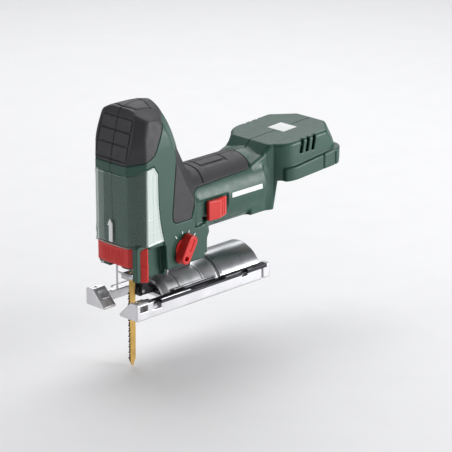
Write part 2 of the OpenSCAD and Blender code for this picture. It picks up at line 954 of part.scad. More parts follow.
// wedge-shaped button, seen from above, for the tool's right side
module slide_button() {
    intersection() {
        block(button_x0, 27, pocket_y + 0.3, half_w + 2.6, 65, 81.5);
        linear_extrude(100) polygon([
            [button_x0, 24], [27, 24], [27, half_w - 1.5], [20, half_w + 0.6],
            [16, half_w + 2.6], [button_x0, half_w + 1.2]
        ]);
    }
}

module slide_button_left() {
    color([0.82, 0.1, 0.08]) mirror([0, 1, 0]) slide_button();
}

module slide_button_right() {
    color([0.82, 0.1, 0.08]) slide_button();
}

// bridge between the two buttons, with the rod that reaches the switch module
module switch_link() {
    arm_in = can_r + 0.4;
    arm_out = body_r - rubber_t - 0.4;
    color([0.85, 0.85, 0.82]) {
        block(0.5, 4.5, -19, 19, 65, 69);
        intersection() {
            ring_x(0.5, 14, arm_in, arm_out, 0, barrel_z);
            block(0.5, 14, -40, 40, 65, 69);
        }
        for (side = [-1, 1]) mirror([0, side < 0 ? 1 : 0, 0]) {
            block(10, 14, 20.5, pocket_y + 0.3, 65, 69);
        }
        block(1.5, 3.5, -1.2, 1.2, 54.5, 65.1);
        rod_x(1.5, 70, 0.9, 0, 55.3);
    }
}

// ---------------------------------------------------------------- base

module base_plate() {
    hx = sole_l / 2;
    hy = sole_w / 2;
    rail_in = 18.7;
    front_in = 21;
    foot_h = 14.4;
    foot_l = 13;
    gap_end = -25;
    low_rail = 9;
    color([0.86, 0.86, 0.88]) difference() {
        union() {
            block(gap_end, hx, -hy, hy, 0, sole_t);
            for (side = [-1, 1]) {
                mirror([0, side < 0 ? 1 : 0, 0]) {
                    block(gap_end, hx, rail_in, hy, 0, rail_h);
                    block(-hx + 1, gap_end + 0.5, front_in, hy, 0, side > 0 ? low_rail : rail_h);
                    // wedge-shaped toe beside the blade
                    along(-hx, -hx + foot_l) polygon([
                        [9, 0], [hy, 0], [hy, foot_h - 1], [hy - 1, foot_h], [22, foot_h], [9, 1.4]
                    ]);
                }
            }
        }
        for (side = [-1, 1]) {
            mirror([0, side < 0 ? 1 : 0, 0]) {
                // slot for the bar of a parallel guide
                block(-hx + 3.5, -hx + 11.5, 10, hy + 1, 6.8, 11.8);
                // screw hole on the toe
                translate([-hx + 5.5, 25, 6]) cylinder(h = 10, r = 1.3);
                // pockets on the outer face
                block(-53, -48.5, hy - 3, hy + 1, 6, 14);
                block(46, 49, hy - 3, hy + 1, 7.5, 14);
                block(65.5, 67.5, hy - 3, hy + 1, 1, 9);
                // scale recess on top of the rail
                across(200) polygon([[-17, 14], [-13, 11], [22, 11], [26, 14]]);
            }
        }
        // rail ends slope down to the rear
        across(100) polygon([[-25, rail_h], [hx + 1, rail_h - 0.8], [hx + 1, 20], [-25, 20]]);
        base_screw_sites() translate([0, 0, -1]) cylinder(h = 10, r = 1.7);
        // seat of the tube and the hood between the rails
        translate([0, 0, sole_t]) intersection() {
            translate([0, 0, -sole_t]) {
                tube_form(-fit);
                rod_x(hood_x0, hx + 1, hood_r + fit);
            }
            block(tube_x0 - 1, hx + 2, -hy, hy, 0, 40);
        }
    }
}

// pads on which the tube stands, just inside its wall
module tube_pads() {
    for (side = [-1, 1]) translate([17, side * 15.5, sole_t]) cylinder(h = 6, r = 3.6);
}

module base_screw_sites() {
    for (x = [17, 62]) for (y = [-15.5, 15.5]) translate([x, y, 0]) children();
}

// half-round tube from x0 to x1 with a bevelled mouth and a flare at the rear
module tube_form(shrink) {
    translate([tube_x0, 0, 0]) rotate([0, 90, 0])
        cylinder(h = 5, r1 = tube_r - 2.2 - shrink, r2 = tube_r - shrink);
    rod_x(tube_x0 + 5, 12, tube_r - shrink);
    translate([12, 0, 0]) rotate([0, 90, 0])
        cylinder(h = hood_x0 - 12, r1 = tube_r - shrink, r2 = hood_r - 1 - shrink);
}

module foot_tube() {
    slot_w = 1.5;
    swing = 56;
    color([0.84, 0.84, 0.86]) difference() {
        union() {
            intersection() {
                difference() {
                    tube_form(0);
                    rod_x(tube_x0 - 1, tube_x0 + 6, tube_r - 3);
                    rod_x(tube_x0 + 5, 12, tube_r - 3);
                    translate([11.99, 0, 0]) rotate([0, 90, 0])
                        cylinder(h = hood_x0 - 11.98, r1 = tube_r - 3, r2 = hood_r - 3.5);
                }
                block(tube_x0, hood_x0, -40, 40, sole_t, 40);
            }
            intersection() {
                tube_pads();
                rod_x(10, hood_x0, tube_r - 1);
            }
        }
        base_screw_sites() cylinder(h = 9, r = 1.4);
        // narrow curved slots that let the straps swing
        for (x = strap_x) {
            translate([x - slot_w / 2, 0, 0]) rotate([0, 90, 0]) rotate([0, 0, 180 - swing])
                rotate_extrude(angle = 2 * swing) translate([tube_r - 4, 0]) square([6, slot_w]);
        }
    }
}

module extraction_hood() {
    color([0.5, 0.51, 0.53]) difference() {
        intersection() {
            rod_x(hood_x0, hood_x1, hood_r);
            block(hood_x0, hood_x1, -40, 40, sole_t, 40);
        }
        rod_x(hood_x0 - 1, hood_plug_x, hood_r - 2);
        rod_x(hood_plug_x - 1, hood_x1 + 1, dust_r, 0, 13.75);
        base_screw_sites() cylinder(h = 9, r = 1.4);
    }
}

module base_screws() {
    color([0.3, 0.3, 0.32]) base_screw_sites() translate([0, 0, 0.4]) difference() {
        union() {
            cylinder(h = 7, r = 1.4);
            cylinder(h = 1.2, r = 1.6);
        }
        translate([0, 0, -1]) cylinder(h = 1.8, r = 0.8, $fn = 6);
    }
}

housing_left();
housing_right();
head_cap_left();
head_cap_right();
barrel_grip_left();
barrel_grip_right();
housing_screws();
side_stripe();
rating_label();
gear_case();
lower_bush();
upper_bush();
gear_axle();
front_bearing();
rear_bearing();
motor_can();
motor_magnets();
motor_end_bell();
carbon_brushes();
brush_holders();
switch_module();
control_board();
terminal_block();
battery_contacts();
lever_pin();
fork_pin();
guard_wire();
bevel_shoe();
bevel_screws();
rotor_shaft();
rotor_core();
rotor_windings();
commutator();
cooling_fan();
drive_pinion();
drive_gear();
gear_bush();
eccentric_pin();
plunger_rod();
yoke();
clamp_body();
clamp_sleeve();
saw_blade();
blade_lever();
chip_guard();
roller_fork();
roller_pin();
guide_roller();
selector_knob();
selector_cam();
slide_button_left();
slide_button_right();
switch_link();
base_plate();
foot_tube();
extraction_hood();
base_screws();
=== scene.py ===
"""The looks of the cordless jigsaw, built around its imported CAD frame.

Shapes are distance fields in millimetres, negative inside. Each one is turned into a mesh of quads
in metres, in the CAD frame. -X is the cutting direction, -Y is the tool's left side, +Z is up.
"""

import json
import math

import bpy
import numpy as np
from mathutils import Matrix, Vector


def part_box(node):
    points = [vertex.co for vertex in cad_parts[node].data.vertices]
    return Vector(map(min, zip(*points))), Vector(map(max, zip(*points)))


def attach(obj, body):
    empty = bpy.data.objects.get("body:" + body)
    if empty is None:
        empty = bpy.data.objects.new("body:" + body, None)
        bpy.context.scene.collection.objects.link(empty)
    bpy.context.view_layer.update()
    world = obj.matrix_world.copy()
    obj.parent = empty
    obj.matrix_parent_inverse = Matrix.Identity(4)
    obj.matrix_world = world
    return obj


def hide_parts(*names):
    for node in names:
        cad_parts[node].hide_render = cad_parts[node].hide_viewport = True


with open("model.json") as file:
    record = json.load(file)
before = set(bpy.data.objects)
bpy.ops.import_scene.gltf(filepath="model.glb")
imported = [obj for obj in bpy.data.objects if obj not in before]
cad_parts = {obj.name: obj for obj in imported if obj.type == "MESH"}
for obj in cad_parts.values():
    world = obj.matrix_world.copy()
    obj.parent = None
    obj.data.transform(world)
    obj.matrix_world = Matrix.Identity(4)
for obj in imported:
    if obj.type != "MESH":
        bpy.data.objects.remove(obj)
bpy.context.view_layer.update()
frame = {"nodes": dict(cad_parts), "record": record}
MM = 0.001
SPLIT_GAP = 0.05


# ---------------------------------------------------------------- stations read from the frame

def low(node):
    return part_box(node)[0] / MM


def high(node):
    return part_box(node)[1] / MM


HALF_W = high("chip_guard").y
FRONT_X = low("chip_guard").x
TOP_Z = high("head_cap_left").z
BELLY_Z = low("housing_left").z
FOOT_HALF_W = high("housing_right").y
FOOT_X1 = high("housing_left").x
BARREL_R = HALF_W - 1
BARREL_Z = (low("motor_can").z + high("motor_can").z) / 2
BARREL_X1 = 74
HEAD_X1 = 4.4
FOOT_X0 = FOOT_X1 - 76
GUARD_Z0 = low("chip_guard").z
GUARD_Z1 = high("chip_guard").z
GUARD_T = 1.5
SEAT = 1.9
LEVER_PIN = (-68.5, 17)
LEVER_PIN_R = 1.5
BORE_GAP = 0.04
RUBBER_T = 2.2
WALL = 2.0
KNOB_X = (low("selector_knob").x + high("selector_knob").x) / 2
KNOB_Z = 48.6
BUTTON_X0 = low("slide_button_left").x
BUTTON_X1 = high("slide_button_left").x
BUTTON_Z0 = low("slide_button_left").z
BUTTON_Z1 = high("slide_button_left").z
SOLE_X = high("base_plate").x
SOLE_Y = high("base_plate").y
SOLE_T = 3
RAIL_Z = 13
TOE_Z = high("base_plate").z
TUBE_X0 = low("foot_tube").x
TUBE_R = 20
HOOD_X0 = low("extraction_hood").x
HOOD_X1 = high("extraction_hood").x
HOOD_R = high("extraction_hood").y
LEVER_Z0 = 41
LEVER_Z1 = high("blade_lever").z
BLADE_X0 = low("saw_blade").x
BLADE_X1 = high("saw_blade").x
BLADE_Z0 = low("saw_blade").z
PLUNGER_X = (low("plunger_rod").x + high("plunger_rod").x) / 2
ROLLER_X = (low("guide_roller").x + high("guide_roller").x) / 2
ROLLER_Z = (low("guide_roller").z + high("guide_roller").z) / 2


# ---------------------------------------------------------------- distance fields

def meet(a, b, r=0.0):
    """Intersection, with the edge rounded to radius r."""
    if not r:
        return np.maximum(a, b)
    u = np.maximum(a + r, 0)
    v = np.maximum(b + r, 0)
    return np.minimum(-r, np.maximum(a, b)) + np.sqrt(u * u + v * v)


def join(a, b, r=0.0):
    """Union, with the inner corner filled to radius r."""
    return -meet(-a, -b, r)


def cut(a, b, r=0.0):
    """a without b, with the edge rounded to radius r."""
    return meet(a, -b, r)


def step_up(d, width):
    """1 well inside a region of distance d, 0 outside, with a soft edge of that width."""
    t = np.clip(0.5 - d / width, 0, 1)
    return t * t * (3 - 2 * t)


def arc(centre, r, start, end, n=6):
    """Points along an arc, angles in degrees."""
    turns = [math.radians(start + (end - start) * i / n) for i in range(n + 1)]
    return [(centre[0] + r * math.cos(t), centre[1] + r * math.sin(t)) for t in turns]


def inset(points, r):
    """The outline with every edge moved inwards by r."""
    p = np.array(points, float)
    area = np.sum(p[:, 0] * np.roll(p[:, 1], -1) - np.roll(p[:, 0], -1) * p[:, 1])
    edge = np.roll(p, -1, 0) - p
    normal = np.stack([edge[:, 1], -edge[:, 0]], 1) * np.sign(area)
    normal /= np.linalg.norm(normal, axis=1)[:, None]
    before = np.roll(normal, 1, 0)
    share = 1 + np.sum(normal * before, 1)
    return p - r * (normal + before) / share[:, None]


def outline(points, r=0.0):
    """Distance to a closed outline in a plane, with its outer corners rounded to radius r."""
    corners = inset(points, r) if r else np.array(points, float)
    corners = corners.astype(np.float32)

    def field(u, v):
        nearest = np.full(u.shape, 1e9, np.float32)
        inside = np.zeros(u.shape, bool)
        for a, b in zip(corners, np.roll(corners, -1, 0)):
            e = b - a
            wu = u - a[0]
            wv = v - a[1]
            t = np.clip((wu * e[0] + wv * e[1]) / (e @ e), 0, 1)
            nearest = np.minimum(nearest, (wu - e[0] * t) ** 2 + (wv - e[1] * t) ** 2)
            above = a[1] <= v
            side = e[0] * wv - e[1] * wu
            inside ^= (above & (b[1] > v) & (side > 0)) | (~above & (b[1] <= v) & (side < 0))
        return np.where(inside, -1, 1) * np.sqrt(nearest) - r

    return field


def path(points):
    """Distance to an open line in a plane."""
    line = np.array(points, np.float32)

    def field(u, v):
        nearest = np.full(u.shape, 1e9, np.float32)
        for a, b in zip(line[:-1], line[1:]):
            e = b - a
            t = np.clip(((u - a[0]) * e[0] + (v - a[1]) * e[1]) / (e @ e), 0, 1)
            nearest = np.minimum(nearest, (u - a[0] - e[0] * t) ** 2 + (v - a[1] - e[1] * t) ** 2)
        return np.sqrt(nearest)

    return field


def block(x, y, z, x0, x1, y0, y1, z0, z1, r=0.0):
    """A box between those faces, with rounded edges."""
    a = np.abs(x - (x0 + x1) / 2) - (x1 - x0) / 2 + r
    b = np.abs(y - (y0 + y1) / 2) - (y1 - y0) / 2 + r
    c = np.abs(z - (z0 + z1) / 2) - (z1 - z0) / 2 + r
    outside = np.sqrt(np.maximum(a, 0) ** 2 + np.maximum(b, 0) ** 2 + np.maximum(c, 0) ** 2)
    return outside + np.minimum(np.maximum(a, np.maximum(b, c)), 0) - r


def rod(along, u, v, start, end, radius, r=0.0):
    """A cylinder whose axis distance parts are u and v, from start to end along it."""
    return meet(np.sqrt(u * u + v * v) - radius, np.abs(along - (start + end) / 2) - (end - start) / 2, r)


def plane(u, v, a, b):
    """Distance to the line from a to b in a plane, positive on its left side."""
    e = np.array(b, np.float32) - np.array(a, np.float32)
    e = e / np.linalg.norm(e)
    return e[0] * (v - a[1]) - e[1] * (u - a[0])


def turned(u, v, centre, degrees):
    """Coordinates in a frame turned by that angle about centre."""
    c = math.cos(math.radians(degrees))
    s = math.sin(math.radians(degrees))
    du = u - centre[0]
    dv = v - centre[1]
    return du * c + dv * s, dv * c - du * s


# ---------------------------------------------------------------- from a field to a mesh

def sample(field, lo, count, h):
    """Field values on a grid. Blocks that the surface can't reach are only filled in."""
    cells = 16
    blocks = -(-np.array(count) // cells)
    values = np.full(blocks * cells, 9.0, np.float32)
    start = np.indices(blocks).reshape(3, -1).T * cells
    while True:
        centre = (lo + (start + (cells - 1) / 2) * h).astype(np.float32)
        d = field(*centre.T)
        near = np.abs(d) < cells * h * 0.95 + h
        solid = start[~near & (d < 0)] // cells
        view = values.reshape([n for size in values.shape for n in (size // cells, cells)])
        view[solid[:, 0], :, solid[:, 1], :, solid[:, 2], :] = -9.0
        start = start[near]
        if cells == 4:
            break
        cells //= 2
        corner = np.indices((2, 2, 2)).reshape(3, -1).T * cells
        start = (start[:, None] + corner).reshape(-1, 3)
    offset = np.indices((cells,) * 3).reshape(3, -1).T
    for part in np.array_split(start, max(1, len(start) // 12000)):
        points = (lo + (part[:, None] + offset) * h).reshape(-1, 3).astype(np.float32)
        i, j, k = (part // cells).T
        view[i, :, j, :, k, :] = field(*points.T).reshape(-1, cells, cells, cells)
    return values


def nets(values):
    """Surface nets: one vertex in each cell that the surface crosses, one quad for each edge it cuts."""
    inside = values < 0
    size = np.array(values.shape) - 1
    corners = np.indices((2, 2, 2)).reshape(3, -1).T

    def shifted(c):
        return tuple(slice(a, a + n) for a, n in zip(c, size))

    count = sum(inside[shifted(c)].astype(np.int8) for c in corners)
    cell = np.argwhere((count > 0) & (count < 8))
    number = np.full(size, -1, np.int32)
    number[tuple(cell.T)] = np.arange(len(cell))
    total = np.zeros((len(cell), 3))
    hits = np.zeros(len(cell))
    for a in corners:
        for axis in np.flatnonzero(a == 0):
            b = a + np.eye(3, dtype=int)[axis]
            fa = values[tuple((cell + a).T)]
            fb = values[tuple((cell + b).T)]
            crossed = (fa < 0) != (fb < 0)
            t = np.where(crossed, fa / np.where(crossed, fa - fb, 1), 0)
            total += crossed[:, None] * (a + t[:, None] * (b - a))
            hits += crossed
    quads = []
    for axis in range(3):
        lower = [slice(1, n) for n in size]
        upper = [slice(1, n) for n in size]
        lower[axis] = slice(0, size[axis])
        upper[axis] = slice(1, size[axis] + 1)
        first = inside[tuple(lower)]
        base = np.ones(3, int)
        base[axis] = 0
        edge = np.argwhere(first != inside[tuple(upper)])
        out = first[tuple(edge.T)]
        edge = edge + base
        u, v = (np.eye(3, dtype=int)[(axis + k) % 3] for k in (1, 2))
        ring = np.stack([number[tuple((edge - s).T)] for s in (0 * u, u, u + v, v)], 1)
        quads.append(np.where(out[:, None], ring, ring[:, ::-1]))
    return cell + total / hits[:, None], np.concatenate(quads)


def settle(field, points, h):
    """Moves points onto the field's surface along its slope, and returns them."""
    probe = np.array([(1, -1, -1), (-1, -1, 1), (-1, 1, -1), (1, 1, 1)], np.float32)
    reach = 0.04
    for _ in range(3):
        value = [field(*(points + reach * k).astype(np.float32).T).astype(float) for k in probe]
        slope = sum(f[:, None] * k for f, k in zip(value, probe)) / (4 * reach)
        steep = np.maximum(np.sum(slope * slope, 1), 0.2)
        move = np.clip(sum(value) / 4 / steep, -0.4 * h, 0.4 * h)
        points = points - 0.9 * move[:, None] * slope
    return points


def mesh_object(name, points, faces):
    """An object from points in millimetres and a table of faces with equal corner counts."""
    mesh = bpy.data.meshes.new(name)
    mesh.vertices.add(len(points))
    mesh.vertices.foreach_set("co", (np.asarray(points) * MM).astype(np.float32).ravel())
    mesh.loops.add(faces.size)
    mesh.loops.foreach_set("vertex_index", faces.astype(np.int32).ravel())
    mesh.polygons.add(len(faces))
    mesh.polygons.foreach_set("loop_start", np.arange(0, faces.size, faces.shape[1], dtype=np.int32))
    mesh.update(calc_edges=True)
    mesh.shade_smooth()
    obj = bpy.data.objects.new(name, mesh)
    bpy.context.scene.collection.objects.link(obj)
    return obj


def carve(name, field, lo, hi, h):
    """A mesh of the field's surface between two corners, with cells of size h."""
    lo = np.array(lo, float) - 2 * h
    count = np.ceil((np.array(hi, float) + 2 * h - lo) / h).astype(int) + 1
    points, faces = nets(sample(field, lo, count, h))
    points = settle(field, lo + points * h, h)
    return mesh_object(name, points, faces)


def dress(obj, body, material, slot, *nodes):
    """Gives a piece its body, its material and the CAD nodes it stands for. The record slot is not used."""
    obj.data.materials.clear()
    obj.data.materials.append(material)
    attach(obj, body)
    if nodes:
        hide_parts(*nodes)
    return obj


# ---------------------------------------------------------------- forms of the housing

head_side = outline(
    [(FRONT_X, BELLY_Z), (FRONT_X, 124), (-70.7, 141), (-65, 162.4), (-61.6, 167.4), (-52.5, 169.8)]
    + arc((-37, TOP_Z - 14), 14, 90, 33, 6)
    + [(-14, 127), (-3, 107), (HEAD_X1 + 16, 96), (HEAD_X1 + 16, 57.8)]
    + arc((HEAD_X1 + 9, 48.8), 9, 90, 180, 8)
    + [(HEAD_X1, BELLY_Z)],
    1.2,
)
head_crown = outline(
    [(-90, -50), (HALF_W, -50), (HALF_W, 137), (26.3, 160), (14, 167), (5, 170.2), (-90, TOP_Z)], 1.0
)
foot_side = outline(
    [
        (BARREL_X1 - 14, 98), (BARREL_X1, 103), (FOOT_X0, 111), (FOOT_X1 - 3, 115), (FOOT_X1, 97.5),
        (FOOT_X1 - 6, 83), (FOOT_X0 + 6, 79), (FOOT_X0 + 4, 54), (BARREL_X1 - 14, 54),
    ],
    1.5,
)
nose_plan = outline(
    [(FRONT_X, -80), (60, -80), (60, HALF_W), (FRONT_X + 13, HALF_W), (FRONT_X + 0.9, 17.8), (FRONT_X, 9)],
    0.8,
)


def foot_plan(half_width, corner):
    """Half plan of the battery foot: the field takes the distance from the middle plane."""
    return outline(
        [(BARREL_X1 - 14, -60), (FOOT_X1, -60)]
        + arc((FOOT_X1 - corner, half_width - corner), corner, 0, 90, 8)
        + arc((FOOT_X0 + 20, half_width - 20), 20, 90, 150, 8)
        + [(FOOT_X0 - 4, 22), (BARREL_X1 - 14, 22)]
    )


upper_plan = foot_plan(FOOT_HALF_W - 3, 18)
skirt_plan = foot_plan(FOOT_HALF_W, 12)


def nose(x, y):
    return nose_plan(x, np.abs(y))


def head(x, y, z):
    side = np.abs(y)
    f = meet(head_side(x, z), nose(x, y), 1.4)
    f = meet(f, head_crown(side, z), 1.5)
    back = np.minimum(plane(x, z, (-25.3, 164.6), (-14, 127)), plane(x, z, (-14, 127), (-3, 107)))
    leg = np.interp(z, (105, 131, 160), (17, 16, 19)).astype(np.float32)
    f = meet(f, (back + side - HALF_W + leg) / math.sqrt(2), 1.2)
    # the cheeks lean back above the guard, and the rear corners fall away from the crown
    lean = np.interp(z, (139, 152, 164), (0, 3.6, 7.2)).astype(np.float32)
    f = meet(f, (side - x + FRONT_X - 18) / math.sqrt(2) + lean, 1.5)
    return meet(f, 0.564 * (x + 39.5) + 0.564 * (side - HALF_W) + 0.604 * (z - 153), 6)


def barrel(x, y, z):
    r = np.sqrt(y * y + (z - BARREL_Z) ** 2)
    f = meet(r - BARREL_R, np.abs(x - 32) - (BARREL_X1 - 32), 1.6)
    rear = meet(r - BARREL_R + 1.5, np.abs(y) - BARREL_R + 6, 3)
    rear = meet(rear, np.abs(x - 68) - (BARREL_X1 + 8 - 68), 2)
    return np.minimum(f, rear)


def foot(x, y, z):
    side = np.abs(y)
    profile = foot_side(x, z)
    upper = meet(profile, upper_plan(x, side), 3)
    corner = (x + side - FOOT_X1 - FOOT_HALF_W + 13) * 0.63 + (z - 99) * 0.454
    upper = meet(upper, corner, 1.5)
    below_step = plane(x, z, (FOOT_X1 + 5, 98.5), (FOOT_X0 + 8, 90.5))
    skirt = meet(profile, skirt_plan(x, side), 1.5)
    skirt = meet(skirt, -below_step, 1.2)
    skirt = meet(skirt, FOOT_X0 + 8 - x, 1.2)
    return join(upper, skirt, 0.6)


def body(x, y, z):
    f = join(head(x, y, z), barrel(x, y, z), 3)
    return join(f, foot(x, y, z), 2)


# ---------------------------------------------------------------- rubber zones

cap_zone = outline(
    [(-90, 125), (-74, 125.2), (-59, 128.6), (-52.8, 131.8), (-46.7, 144), (-40.6, 156.8)]
    + [(-20, 158.5), (10, 160), (10, 190), (-90, 190)],
    1.0,
)
grip_zone = outline(
    [(-29.2, 128.6), (-34.2, 80)]
    + arc((-28.4, 76.5), 5.6, 170, 270, 4)
    + [(-13.3, 71.1), (-10, 83.2), (-8, 90.6), (-2.8, 93.3), (50, 95)]
    + arc((55, 102), 7, 270, 360, 5)
    + [(62, 125), (5, 125), (-6, 133)],
    1.0,
)


def inner_space(x, y, z):
    """Everything hollow inside the two shells."""
    f = meet(head(x, y, z) + WALL + RUBBER_T, nose(x - SEAT, y) + WALL + SEAT)
    r = np.sqrt(y * y + (z - BARREL_Z) ** 2)
    tube = meet(r - BARREL_R + WALL + RUBBER_T, np.abs(x - 30) - 46)
    f = join(f, tube, 1)
    upper = meet(foot(x, y, z) + WALL, 98 - z)
    f = np.minimum(f, meet(upper, FOOT_X0 - 4 - x))
    f = np.minimum(f, block(x, y, z, BARREL_X1 - 2, FOOT_X0 + 12, -13, 13, 84, 99, 1))
    return f


def front_recess(x, y, z):
    """Room for the guard in front of the nose, and for the lever below it."""
    level = recess_side(x, z)
    f = np.maximum(level, -(nose(x, y) + SEAT))
    lever_room = np.maximum(x + 65, z - GUARD_Z0 - 0.5)
    leg_room = np.maximum(np.maximum(x + 58, z - GUARD_Z0 - 0.5), y + 19.4)
    return np.minimum(f, np.minimum(lever_room, leg_room))


recess_side = outline(
    [(-90, 117.2), (-71, 117.4), (-61, 122.6), (-54.2, 124.2), (-49.5, 117.2), (-49, 91.5), (-47.5, 77.8)]
    + [(-42.6, 56), (-42.6, 30), (-90, 30)]
)

BOSS_R = 4.4
SCREW_R = 1.55
RECESS_R = 3.4
# x, z and the distance from the middle plane at which the screw's head sits
SCREWS = [
    (-39.7, 146.8, 24.2), (-64.5, 126.5, 22), (-10, 112, 13.4), (0.6, 43.6, 26), (78, 62, 20), (148, 103, 30),
]


def bosses(x, y, z):
    f = 99.0
    for sx, sz, reach in SCREWS:
        f = np.minimum(f, rod(y, x - sx, z - sz, -reach, reach, BOSS_R))
    return f


def boss_bores(x, y, z):
    f = 99.0
    for sx, sz, reach in SCREWS:
        f = np.minimum(f, rod(y, x - sx, z - sz, -12, reach, SCREW_R))
        f = np.minimum(f, rod(y, x - sx, z - sz, reach - 6, 60, RECESS_R))
    return f


def vents(x, y, z):
    f = 99.0
    for vx in (107, 114, 121):
        u, v = turned(x, z, (vx, 100.8), -11)
        slot = block(u, np.abs(y), v, -1.6, 1.6, 31.5, 45, 0, 20, 0.8)
        f = np.minimum(f, slot)
    return f


scoop_side = outline([(-9.5, 62.5), (1.5, 62.5), (1.5, 88.5), (-3, 88.8), (-7.6, 86.4)], 1.0)
barrel_line = path([(24, 59.5), (46, 58.5), (56, 60.5)])
gap_side = outline([(-66, 56), (-41.5, 55.6), (-40.2, 33), (-47.5, 20), (-66, 20)], 0.6)


def scoop(x, y, z):
    """Ramp in front of the slide button, deepest at its front end."""
    ramp = (HALF_W - 0.37 * (1.5 - x) - np.abs(y)) * 0.85
    return np.maximum(ramp, scoop_side(x, z))


def shell(x, y, z):
    """Both housing shells before they are split."""
    f = body(x, y, z) + engraved(x, y, z)
    f = f + (RUBBER_T - 0.1) * step_up(cap_zone(x, z), 0.7)
    f = f + (RUBBER_T - 0.1) * step_up(np.maximum(grip_zone(x, z), -foot(x, y, z)), 0.7)
    f = cut(f, inner_space(x, y, z), 0.3)
    f = cut(f, front_recess(x, y, z), 0.5)
    bay = block(x, y, z, FOOT_X0 + 12, FOOT_X1 + 20, -30.5, 30.5, 60, 95, 1)
    f = cut(f, bay, 0.6)
    f = cut(f, vents(x, y, z), 0.5)
    ribs = 99.0
    for rx in (12, 49):
        r = np.sqrt(y * y + (z - BARREL_Z) ** 2)
        ribs = np.minimum(ribs, np.maximum(np.abs(x - rx - 1.5) - 1.5, np.abs(r - 22.7) - 1.2))
    f = np.minimum(f, ribs)
    bulkhead = block(x, y, z, -65, -62.5, -19.2, 23.6, 44, GUARD_Z0 + 2, 0.3)
    bulkhead = np.minimum(bulkhead, block(x, y, z, -65, -62.5, 12, 23.6, BELLY_Z, 46, 0.3))
    shelf = block(x, y, z, -72, -62.5, -17, 17, GUARD_Z0 + 0.5, GUARD_Z0 + 3, 0.4)
    f = np.minimum(f, np.minimum(bulkhead, shelf))
    lugs = block(x, y, z, -71, -62.5, 14.5, 19.5, 39.2, 40.6)
    lugs = np.minimum(lugs, block(x, y, z, -72, -62.5, 13, 19.5, 58.2, 62))
    f = np.minimum(f, meet(lugs, nose(x, y) + SEAT, 0.3))
    ledge = block(x, np.abs(y), z, FOOT_X0 + 14, FOOT_X0 + 70, 26.5, 31, 84.5, 87.5, 0.3)
    f = np.minimum(f, ledge)
    f = np.minimum(f, np.maximum(bosses(x, y, z), body(x, y, z) + 2.4))
    f = cut(f, boss_bores(x, y, z), 0.3)
    pocket = block(
        x, np.abs(y), z, BUTTON_X0 - 10, BUTTON_X1 + 2, 26.2, 45, BUTTON_Z0 - 1.5, BUTTON_Z1 + 1.5, 1.2
    )
    f = cut(f, pocket, 0.6)
    f = cut(f, scoop(x, y, z), 0.5)
    f = cut(f, block(x, np.abs(y), z, 1.2, 14.8, 15, 40, 64.5, 69.5))
    f = cut(f, block(x, y, z, -48, 12, -11, 11, 0, 40))
    f = cut(f, block(x, y, z, -62.4, -42, -12, 12, 0, 60.8))
    # open front below the lever, and the dark gap beside its finger tab
    f = cut(f, block(x, y, z, -66, -42, -19.4, 12, 0, 43.8, 0.6), 0.3)
    level = gap_side(x, z)
    f = np.minimum(f, np.maximum(np.maximum(level - 4, 30 - z), np.maximum(np.abs(y + 22.2) - 2.8, x + 39)))
    f = cut(f, np.maximum(level, y + 21), 0.4)
    f = cut(f, rod(z, x - LEVER_PIN[0], y - LEVER_PIN[1], 30, 61.1, LEVER_PIN_R))
    f = cut(f, rod(y, x - KNOB_X, z - KNOB_Z, -40, 0, 4.1))
    f = cut(f, rod(y, x - KNOB_X, z - KNOB_Z, -40, -HALF_W + 1.2, 12, 0.3), 0.5)
    return f


def engraved(x, y, z):
    """How deep the housing's lines, scale marks and grooves are cut."""
    side = np.abs(y)
    skirt = np.minimum(np.abs(x - 132), np.abs(x - 146))
    depth = 1.3 * step_up(np.maximum(skirt - 0.7, np.maximum(z - 94.5, FOOT_HALF_W - 3 - side)), 0.5)
    line = barrel_line(x, z) - 0.35
    depth = depth + 0.5 * step_up(np.maximum(line, 15 - side), 0.5)
    notch = np.minimum(np.abs(x - 2.5) - 1.5, np.abs(x + 21) - 3)
    return depth + 1.8 * step_up(np.maximum(notch, np.maximum(z - 38.5, 20 - side)), 0.6)


def left_shell(x, y, z):
    return meet(shell(x, y, z), y + SPLIT_GAP, 0.35)


def right_shell(x, y, z):
    return meet(shell(x, y, z), SPLIT_GAP - y, 0.35)


# ---------------------------------------------------------------- rubber pieces

front_lines = [
    path([(17.3, 128.4), (17.3, 161)]), path([(0, 128.4), (17.3, 128.4)]), path([(0, 140.2), (17.3, 140.2)]),
    path([(0, 150.8), (17.3, 150.8)]), path([(0, 161), (17.3, 161)]),
]
top_line = path([(-59.5, 0), (-57.5, 13), (-43, 14), (-41.5, 0)])


def cap_grooves(x, y, z):
    side = np.abs(y)
    front = np.minimum.reduce([line(side, z) for line in front_lines])
    front = np.maximum(front - 0.55, x + 58)
    top = np.maximum(top_line(x, side) - 0.5, 158 - z)
    return 0.9 * step_up(np.minimum(front, top), 0.5)


def cap(x, y, z):
    h = head(x, y, z) + cap_grooves(x, y, z)
    f = meet(h, -(h + RUBBER_T - 0.2), 0.3)
    return meet(f, cap_zone(x, z) + 0.25, 0.6)


grip_ring = path([(3, 125), (9, 103), (6, 95.5)])
grip_panel = path([(12, 125), (16, 104), (44, 104), (50, 125)])


def grip_grooves(x, y, z):
    line = np.minimum(grip_ring(x, z), grip_panel(x, z))
    return 1.0 * step_up(line - 0.5, 0.5)


def grip(x, y, z):
    b = join(head(x, y, z), barrel(x, y, z), 3)
    f = meet(b + grip_grooves(x, y, z), -(b + RUBBER_T - 0.2), 0.3)
    f = meet(f, 0.3 - foot(x, y, z), 0.3)
    return meet(f, grip_zone(x, z) + 0.25, 0.6)


def one_side(field, side):
    """The half of a field on one side of the middle plane, -1 left or 1 right."""
    def split(x, y, z):
        return meet(field(x, y, z), SPLIT_GAP - side * y, 0.3)

    return split


# ---------------------------------------------------------------- guard, lever, knob and buttons

